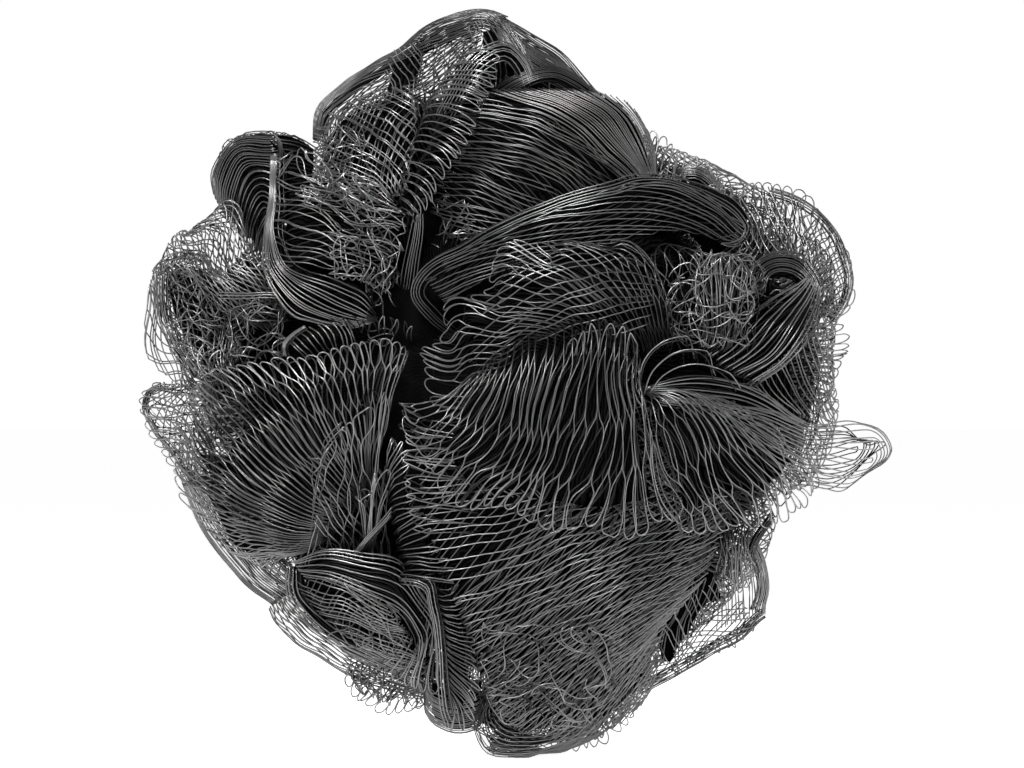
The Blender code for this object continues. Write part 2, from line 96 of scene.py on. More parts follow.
def fold(sections, **settings):
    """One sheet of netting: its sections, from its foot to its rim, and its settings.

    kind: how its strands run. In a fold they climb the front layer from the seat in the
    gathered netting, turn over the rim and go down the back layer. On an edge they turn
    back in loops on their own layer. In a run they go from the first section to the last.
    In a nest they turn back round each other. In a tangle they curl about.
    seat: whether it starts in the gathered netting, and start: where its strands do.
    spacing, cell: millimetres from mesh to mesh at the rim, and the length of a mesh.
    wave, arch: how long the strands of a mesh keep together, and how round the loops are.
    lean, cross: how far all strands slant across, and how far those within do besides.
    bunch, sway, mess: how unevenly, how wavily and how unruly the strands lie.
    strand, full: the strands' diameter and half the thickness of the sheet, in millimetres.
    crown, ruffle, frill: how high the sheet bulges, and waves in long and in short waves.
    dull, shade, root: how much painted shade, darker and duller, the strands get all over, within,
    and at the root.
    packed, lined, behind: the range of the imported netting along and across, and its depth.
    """
    made = dict(
        kind="fold", crown=0, ruffle=0.5, spacing=2.0, cell=10, lean=0, full=2.0,
        packed=0.8, lined=(0.04, 0.96), mess=0.6, bunch=0.3, arch=0.6, sway=0.2,
        strand=0.29, frill=0.2, wave=0.75, start=0.22, seat=True, behind=1.0, shade=0.8,
        root=0.6, cross=0.12, dull=0,
    )
    made.update(settings)
    return SimpleNamespace(sections=sections, **made)


FRONT_MIDDLE = {
    "front_shell": [
        fold([
            [(468, 392, 46), (492, 371, 50), (518, 357, 52), (545, 349, 53), (572, 342, 54),
             (598, 336, 54), (620, 342, 54), (636, 378, 54)],
            [(432, 403, 47), (447, 425, 52), (475, 440, 56), (507, 443, 58), (540, 443, 59),
             (572, 443, 59), (602, 440, 59), (626, 425, 58), (638, 396, 56)],
            [(405, 397, 44), (401, 420, 48), (424, 452, 53), (465, 490, 57), (515, 513, 59),
             (560, 524, 60), (600, 526, 60), (640, 526, 59), (672, 524, 58)],
        ], kind="edge", spacing=2.6, cell=8.5, wave=0.95, packed=0.92, lean=0.02, cross=0.24,
           crown=2, mess=1.5),
        fold([
            [(641, 398, 54), (645, 392, 54), (650, 390, 54)],
            [(646, 430, 57), (660, 415, 57), (678, 407, 57), (700, 405, 56), (722, 407, 55),
             (745, 410, 53)],
            [(655, 480, 58), (678, 466, 58), (702, 455, 57), (728, 448, 55), (755, 446, 51),
             (780, 440, 45)],
            [(672, 524, 58), (700, 527, 57), (728, 528, 55), (752, 522, 51), (778, 508, 44),
             (800, 495, 38), (812, 470, 33)],
        ], kind="edge", spacing=2.4, cell=8, wave=0.9, mess=1.7, packed=0.9, lean=0.02, cross=-0.2),
        fold([
            [(556, 398, 52), (585, 398, 53), (612, 398, 53), (632, 398, 53)],
            [(566, 345, 54), (575, 336, 55), (590, 326, 56), (607, 321, 56), (622, 327, 56),
             (633, 338, 56)],
        ], kind="edge", spacing=2.7, cell=20, seat=False, start=0, packed=0, full=1),
        fold([
            [(633, 390, 55), (640, 393, 55), (646, 394, 55)],
            [(635, 360, 56), (648, 368, 56), (662, 376, 56)],
            [(652, 340, 57), (675, 352, 57), (695, 368, 57)],
            [(672, 336, 56), (700, 356, 56), (722, 376, 56)],
            [(676, 350, 52), (706, 378, 52), (738, 396, 52)],
        ], kind="run", spacing=5, cell=200, seat=False, packed=0, full=0.5),
        fold([
            [(470, 398, 43), (520, 362, 48), (580, 350, 49), (636, 352, 49)],
            [(440, 430, 47), (500, 436, 53), (570, 438, 54), (640, 430, 53)],
            [(470, 480, 52), (540, 502, 55), (610, 512, 55), (690, 508, 53)],
        ], kind="run", spacing=1.8, cell=5, full=0.8, seat=False, packed=0, dull=0.35, wave=0.2,
           mess=1.2, strand=0.28),
    ],
    "upper_shell": [
        fold([
            [(560, 352, 46), (595, 350, 47), (625, 346, 47), (648, 342, 46), (668, 336, 44)],
            [(515, 362, 45), (535, 338, 49), (567, 315, 51), (602, 302, 51), (636, 295, 49),
             (662, 302, 46)],
            [(475, 393, 43), (478, 358, 47), (497, 322, 50), (530, 293, 52), (575, 272, 51),
             (620, 265, 48), (650, 278, 44)],
            [(452, 395, 40), (434, 378, 42), (431, 350, 44), (441, 325, 46), (462, 303, 47),
             (482, 288, 48), (493, 269, 48), (512, 254, 47), (545, 249, 46), (580, 249, 44),
             (620, 256, 42)],
        ], kind="edge", spacing=2.2, cell=6.5, wave=0.7, mess=1.3, dull=0.22),
        fold([
            [(468, 372, 46), (476, 330, 49), (492, 292, 51), (520, 260, 50)],
            [(520, 350, 49), (535, 312, 51), (556, 280, 53), (582, 256, 48)],
            [(585, 335, 50), (600, 305, 52), (612, 282, 51), (625, 262, 47)],
            [(640, 335, 48), (648, 310, 48), (652, 292, 46), (656, 280, 44)],
        ], kind="run", spacing=3.0, cell=6, wave=0.2, full=0.8, seat=False, packed=0, mess=1.2,
           dull=0.25),
    ],
    "twisted_ruffle": [
        fold([
            [(391, 462, 45), (391, 488, 47), (396, 524, 48), (401, 550, 47), (404, 566, 46),
             (404, 576, 45)],
            [(391, 450, 46), (398, 475, 49), (406, 505, 50), (413, 535, 50), (421, 556, 49),
             (430, 572, 48)],
            [(394, 438, 45), (402, 446, 47), (408, 464, 48), (416, 490, 49), (424, 517, 49),
             (434, 531, 49), (444, 546, 49), (451, 562, 48), (456, 578, 47)],
        ], kind="edge", spacing=2.4, cell=60, seat=False, start=0, full=1.2, mess=0.7, behind=0.4,
           lined=(0.02, 0.98)),
        fold([
            [(433, 580, 48), (436, 600, 48), (440, 622, 47), (443, 645, 46), (445, 669, 43),
             (446, 690, 40)],
            [(446, 583, 49), (452, 602, 49), (456, 626, 48), (459, 653, 46), (459, 681, 42),
             (455, 702, 37)],
            [(457, 578, 47), (464, 591, 47), (468, 613, 47), (473, 633, 46), (475, 653, 44),
             (474, 675, 42), (470, 700, 37), (460, 716, 34), (448, 722, 32)],
        ], kind="edge", spacing=2.2, cell=60, seat=False, start=0, full=1.2, mess=0.9, behind=0.4,
           lined=(0.02, 0.98)),
        fold([
            [(403, 568, 46), (403, 580, 46)],
            [(418, 569, 48), (417, 582, 48)],
            [(432, 574, 49), (427, 588, 48)],
            [(439, 600, 49), (431, 606, 48)],
            [(444, 635, 48), (436, 638, 47)],
            [(448, 668, 45), (438, 668, 44)],
            [(453, 700, 39), (441, 700, 38)],
            [(460, 716, 33), (446, 718, 32)],
        ], kind="run", spacing=0.8, full=0.8, cell=60, packed=0, strand=0.28),
        fold([
            [(429, 674, 30), (429, 708, 22)],
            [(438, 686, 34), (437, 720, 22)],
            [(455, 690, 34), (455, 728, 20)],
            [(472, 686, 32), (474, 724, 20)],
            [(482, 674, 28), (482, 706, 18)],
        ], kind="run", spacing=0.8, full=1.0, cell=60, behind=0.3, strand=0.26, lined=(0.0, 1.0),
           dull=0.2, seat=False),
    ],
    "lower_front": [
        fold([
            [(412, 425, 49), (418, 460, 51), (424, 500, 52), (434, 540, 52), (452, 590, 50),
             (472, 640, 46), (486, 690, 38), (520, 722, 30), (565, 735, 25), (610, 722, 22),
             (640, 698, 22)],
            [(486, 405, 50), (525, 451, 53), (573, 512, 54), (596, 559, 52), (612, 636, 43),
             (634, 668, 32), (650, 679, 26)],
            [(560, 385, 44), (620, 400, 46), (680, 420, 45), (715, 460, 43), (722, 505, 41),
             (710, 545, 38), (694, 578, 34), (668, 605, 31), (655, 640, 28), (646, 668, 26)],
        ], kind="run", spacing=2.0, cell=4.6, packed=0.9, lined=(0.0, 1.0), mess=1.0, wave=0.6,
           strand=0.28, full=0.6, behind=2.0, bunch=0.1, shade=0.35),
        fold([
            [(452, 590, 49), (472, 640, 45), (492, 700, 36), (540, 730, 27), (600, 725, 23),
             (640, 696, 23)],
            [(560, 500, 53), (598, 570, 51), (616, 640, 42), (634, 665, 33), (650, 676, 27)],
            [(660, 430, 43), (712, 470, 42), (714, 520, 40), (698, 570, 36), (666, 608, 31),
             (650, 652, 28)],
        ], kind="run", spacing=1.2, cell=9, packed=0, mess=1.0, wave=0.3, strand=0.24, dull=0.1,
           full=0.8, seat=False, bunch=0.1, shade=0.5),
        fold([
            [(470, 436, 51), (474, 478, 53), (482, 530, 53)],
            [(412, 434, 50), (403, 460, 51), (406, 492, 52), (420, 528, 52)],
        ], kind="edge", spacing=2.6, cell=30, packed=0, seat=False, start=0),
        fold([
            [(478, 612, 48), (520, 615, 50), (560, 615, 51), (610, 620, 48)],
            [(480, 660, 44), (520, 665, 46), (565, 665, 46), (615, 665, 42)],
            [(492, 705, 36), (525, 715, 36), (570, 718, 34), (615, 700, 30)],
        ], kind="tangle", spacing=2.4, seat=False, packed=0, strand=0.3),
    ],
    "right_spike": [
        fold([
            [(645, 384, 54), (646, 390, 54)],
            [(672, 377, 54), (672, 392, 53)],
            [(715, 376, 50), (715, 398, 50)],
            [(760, 394, 45), (755, 408, 46)],
            [(800, 424, 38), (790, 424, 40)],
        ], kind="run", spacing=0.9, full=1.0, cell=60),
        fold([
            [(650, 398, 54), (652, 406, 55)],
            [(700, 404, 51), (702, 418, 53)],
            [(760, 410, 44), (768, 440, 46), (775, 465, 46)],
            [(815, 424, 34), (815, 455, 34), (808, 488, 34)],
            [(850, 424, 24), (868, 440, 21), (866, 458, 20), (848, 482, 23)],
            [(872, 434, 20), (884, 444, 18), (876, 460, 18)],
        ], kind="nest", spacing=1.2, cell=30, seat=False, lean=0.01, packed=0),
    ],
    "small_loops": [
        fold([
            [(700, 338, 38), (714, 340, 39), (730, 338, 38)],
            [(697, 300, 41), (715, 298, 43), (736, 300, 41)],
            [(694, 278, 41), (700, 263, 42), (716, 256, 42), (732, 262, 41), (741, 278, 40)],
        ], spacing=1.6, cell=20),
        fold([
            [(664, 345, 41), (700, 345, 43), (745, 345, 40)],
            [(662, 300, 43), (700, 295, 46), (750, 290, 42)],
            [(668, 262, 41), (700, 256, 43), (745, 262, 40)],
        ], kind="tangle", spacing=1.75, seat=False, packed=0, shade=0.4, strand=0.3),
        fold([
            [(660, 350, 36), (700, 352, 37), (750, 350, 35)],
            [(655, 310, 37), (700, 305, 39), (752, 300, 36)],
            [(655, 262, 34), (672, 252, 36), (700, 255, 37), (735, 252, 37), (757, 268, 34)],
        ], spacing=3.4, cell=7, mess=1.8, packed=0.9, dull=0.3),
    ],
}

UPPER = {
    "long_fold": [
        fold([
            [(455, 338, 33), (458, 326, 35)],
            [(426, 318, 36), (438, 308, 38)],
            [(411, 293, 38), (426, 292, 40)],
            [(422, 270, 40), (436, 279, 43)],
            [(458, 248, 42), (467, 264, 45)],
            [(500, 225, 44), (505, 242, 47)],
            [(560, 201, 45), (564, 216, 48)],
            [(640, 179, 43), (644, 196, 46)],
            [(700, 189, 38), (696, 209, 42)],
            [(740, 210, 33), (722, 222, 38)],
            [(748, 230, 30), (730, 230, 37)],
            [(739, 245, 32), (724, 236, 38)],
            [(722, 252, 35), (712, 242, 39)],
        ], kind="run", spacing=1.6, cell=60, full=0.8, lined=(0.0, 1.0), behind=0.4, strand=0.28,
           dull=0.35),
        fold([
            [(424, 280, 40), (434, 291, 42), (444, 302, 41)],
            [(462, 252, 43), (474, 268, 45), (484, 282, 44)],
            [(502, 232, 45), (514, 248, 47), (526, 264, 45)],
            [(562, 207, 46), (580, 226, 48), (596, 246, 46)],
            [(640, 186, 44), (652, 210, 46), (660, 238, 43)],
            [(702, 197, 39), (712, 217, 40), (710, 240, 38)],
            [(740, 222, 34), (742, 230, 35), (738, 240, 34)],
        ], kind="run", spacing=1.1, cell=5, full=0.6, wave=0.3, mess=1.3, lined=(0.0, 1.0),
           behind=1.6, strand=0.26, shade=0.5, dull=0.35),
    ],
    "top_ruffle": [
        fold([
            [(472, 60, 26), (456, 82, 30), (441, 112, 34), (427, 148, 37), (413, 185, 38),
             (404, 214, 38)],
            [(486, 54, 29), (480, 80, 33), (464, 112, 37), (450, 148, 40), (430, 184, 41),
             (410, 218, 40)],
            [(496, 56, 28), (498, 78, 32), (484, 108, 36), (475, 135, 39), (462, 160, 41),
             (444, 186, 41), (424, 208, 40), (410, 224, 39)],
        ], kind="edge", spacing=2.0, cell=30, lean=-0.06),
        fold([
            [(436, 118, 30), (452, 128, 31)],
            [(455, 80, 30), (471, 92, 31)],
            [(478, 54, 29), (490, 70, 31)],
            [(500, 45, 28), (503, 64, 31)],
            [(518, 54, 28), (513, 74, 30)],
            [(534, 78, 28), (520, 92, 29)],
        ], kind="run", spacing=0.7, full=1.2, cell=30, behind=0.3),
        fold([
            [(414, 214, 36), (424, 216, 36)],
            [(408, 242, 35), (424, 240, 35)],
            [(401, 272, 33), (419, 268, 34)],
            [(399, 298, 30), (412, 303, 31)],
        ], kind="run", spacing=0.6, full=1.0, cell=60, strand=0.22),
        fold([
            [(425, 196, 32), (455, 196, 33)],
            [(425, 225, 31), (455, 225, 32)],
            [(422, 262, 30), (450, 262, 31)],
        ], kind="tangle", spacing=2.2, seat=False, packed=0),
        fold([
            [(366, 272, 34), (402, 272, 32)],
            [(368, 305, 33), (405, 305, 30)],
            [(370, 345, 33), (420, 345, 30)],
        ], kind="tangle", spacing=2.0, seat=False, packed=0),
    ],
    "upper_fan": [
        fold([
            [(430, 215, 34), (444, 185, 35), (457, 155, 36), (469, 127, 35), (480, 98, 32)],
            [(464, 232, 37), (484, 203, 39), (506, 176, 40), (532, 150, 40), (562, 128, 37)],
            [(500, 250, 38), (533, 236, 39), (566, 220, 39), (600, 204, 37), (632, 188, 33)],
        ], kind="run", spacing=1.2, cell=7, full=0.5, mess=1.6, wave=0.3, lined=(0.0, 1.0),
           behind=1.6, strand=0.24, lean=0.04, dull=0.2, shade=0.4),
        fold([
            [(480, 98, 32), (530, 95, 30), (580, 96, 28), (616, 103, 27), (642, 134, 25)],
            [(556, 127, 37), (586, 122, 34), (612, 122, 31), (634, 133, 28), (648, 152, 25)],
            [(626, 192, 33), (634, 188, 32), (640, 183, 30), (644, 178, 28), (648, 172, 26)],
        ], kind="run", spacing=1.15, cell=8, full=0.8, mess=1.0, wave=0.3, lined=(0.0, 0.8),
           behind=0.4, strand=0.26, bunch=0.1, dull=0.12),
        fold([
            [(436, 205, 33), (470, 200, 34), (510, 215, 36)],
            [(434, 225, 33), (462, 222, 34), (490, 235, 36)],
            [(430, 252, 33), (448, 248, 34), (462, 246, 36)],
        ], kind="tangle", spacing=2.0, seat=False, packed=0),
    ],
    "top_left_veil": [
        fold([
            [(314, 140, 22), (326, 124, 23), (345, 108, 24), (372, 96, 26), (412, 90, 28)],
            [(318, 168, 28), (338, 156, 30), (362, 142, 31), (388, 130, 32), (418, 122, 31)],
            [(336, 196, 33), (356, 186, 34), (376, 174, 34), (396, 164, 34), (417, 158, 33)],
            [(362, 214, 35), (374, 206, 36), (386, 200, 36), (398, 196, 36), (411, 194, 35)],
        ], kind="run", spacing=1.35, cell=1.6, mess=1.6, wave=0.1, full=0.6, strand=0.26,
           behind=2.0, shade=0.35, dull=0.1),
        fold([
            [(318, 138, 27), (340, 132, 29), (366, 126, 30)],
            [(326, 168, 31), (350, 168, 33), (376, 168, 34)],
            [(352, 200, 35), (372, 200, 36), (392, 202, 36)],
        ], kind="tangle", spacing=1.7, seat=False, packed=0, strand=0.26),
    ],
    "top_tent_left": [
        fold([
            [(316, 140, 9), (319, 142, 11), (323, 144, 13)],
            [(318, 112, 7), (322, 114, 9), (326, 116, 12)],
            [(344, 86, 6), (347, 89, 8), (350, 93, 11)],
            [(398, 52, 6), (401, 57, 9), (405, 62, 12)],
            [(447, 18, 7), (453, 27, 12), (460, 36, 17)],
            [(476, 11, 8), (480, 22, 13), (482, 33, 18)],
            [(506, 21, 10), (502, 30, 14), (498, 40, 19)],
        ], kind="run", spacing=0.9, cell=9, packed=0, full=0.8, dull=0.45),
        fold([
            [(322, 138, 12), (338, 142, 19), (356, 148, 26)],
            [(326, 114, 10), (344, 118, 18), (364, 124, 27)],
            [(350, 90, 10), (367, 101, 18), (384, 112, 28)],
            [(404, 60, 12), (421, 76, 20), (438, 92, 29)],
            [(458, 30, 14), (462, 48, 21), (466, 66, 28)],
            [(482, 28, 15), (480, 44, 22), (478, 58, 28)],
        ], kind="run", spacing=1.6, cell=4.2, packed=0, full=0.6, mess=1.5, strand=0.3, wave=0.5,
           dull=0.3),
        fold([
            [(392, 56, 10), (408, 52, 11), (424, 44, 11)],
            [(384, 82, 20), (402, 80, 22), (420, 76, 22)],
            [(380, 108, 27), (396, 108, 28), (414, 108, 28)],
        ], kind="run", spacing=1.3, cell=3, full=1.0, mess=1.4, lined=(0.1, 0.9), behind=0.5,
           wave=0.2, dull=0.2),
    ],
    "top_tent_right": [
        fold([
            [(490, 14, 8), (492, 30, 15), (494, 46, 24)],
            [(524, 34, 8), (520, 52, 16), (514, 70, 26)],
            [(555, 52, 7), (546, 68, 16), (534, 84, 26)],
            [(577, 76, 7), (567, 85, 14), (552, 94, 24)],
            [(598, 101, 8), (588, 104, 14), (572, 106, 22)],
        ], kind="run", spacing=0.9, cell=12, full=1.0, lined=(0.25, 1.0), behind=0.4, dull=0.4),
        fold([
            [(497, 106, 28), (490, 92, 26)],
            [(520, 93, 30), (514, 79, 28)],
            [(546, 84, 30), (546, 70, 27)],
            [(570, 92, 28), (576, 80, 24)],
            [(588, 106, 25), (596, 101, 21)],
        ], kind="run", spacing=0.7, cell=30, full=0.6, behind=0.2, dull=0.55),
        fold([
            [(488, 84, 22), (540, 82, 22), (588, 92, 18)],
            [(488, 116, 26), (540, 116, 26), (600, 112, 20)],
        ], kind="tangle", spacing=1.5, packed=1.0, seat=False, behind=0.2, lined=(0.0, 1.0)),
        fold([
            [(466, 34, 16), (490, 30, 16), (516, 42, 15)],
            [(456, 66, 22), (488, 64, 23), (534, 78, 20)],
            [(450, 96, 26), (486, 96, 26), (530, 96, 24)],
        ], kind="run", spacing=1.6, cell=4, mess=1.2, seat=False, behind=0.2, lined=(0.3, 1.0),
           wave=0.2),
    ],
    "upper_right_back": [
        fold([
            [(640, 185, 13), (675, 195, 16), (715, 205, 16)],
            [(645, 126, 8), (660, 140, 9), (678, 158, 11), (700, 168, 13), (714, 180, 14),
             (724, 196, 15)],
        ], kind="edge", spacing=1.8, cell=7, packed=0.5),
        fold([
            [(676, 172, 14), (678, 182, 18)],
            [(696, 169, 15), (694, 182, 19)],
            [(712, 180, 15), (704, 190, 19)],
            [(720, 196, 15), (708, 200, 19)],
        ], kind="run", spacing=0.5, full=0.8, cell=40, behind=0.2),
        fold([
            [(640, 168, 16), (680, 178, 18), (720, 190, 18)],
            [(640, 186, 18), (680, 196, 20), (722, 204, 20)],
        ], kind="tangle", spacing=1.4, seat=False, packed=0),
    ],
}

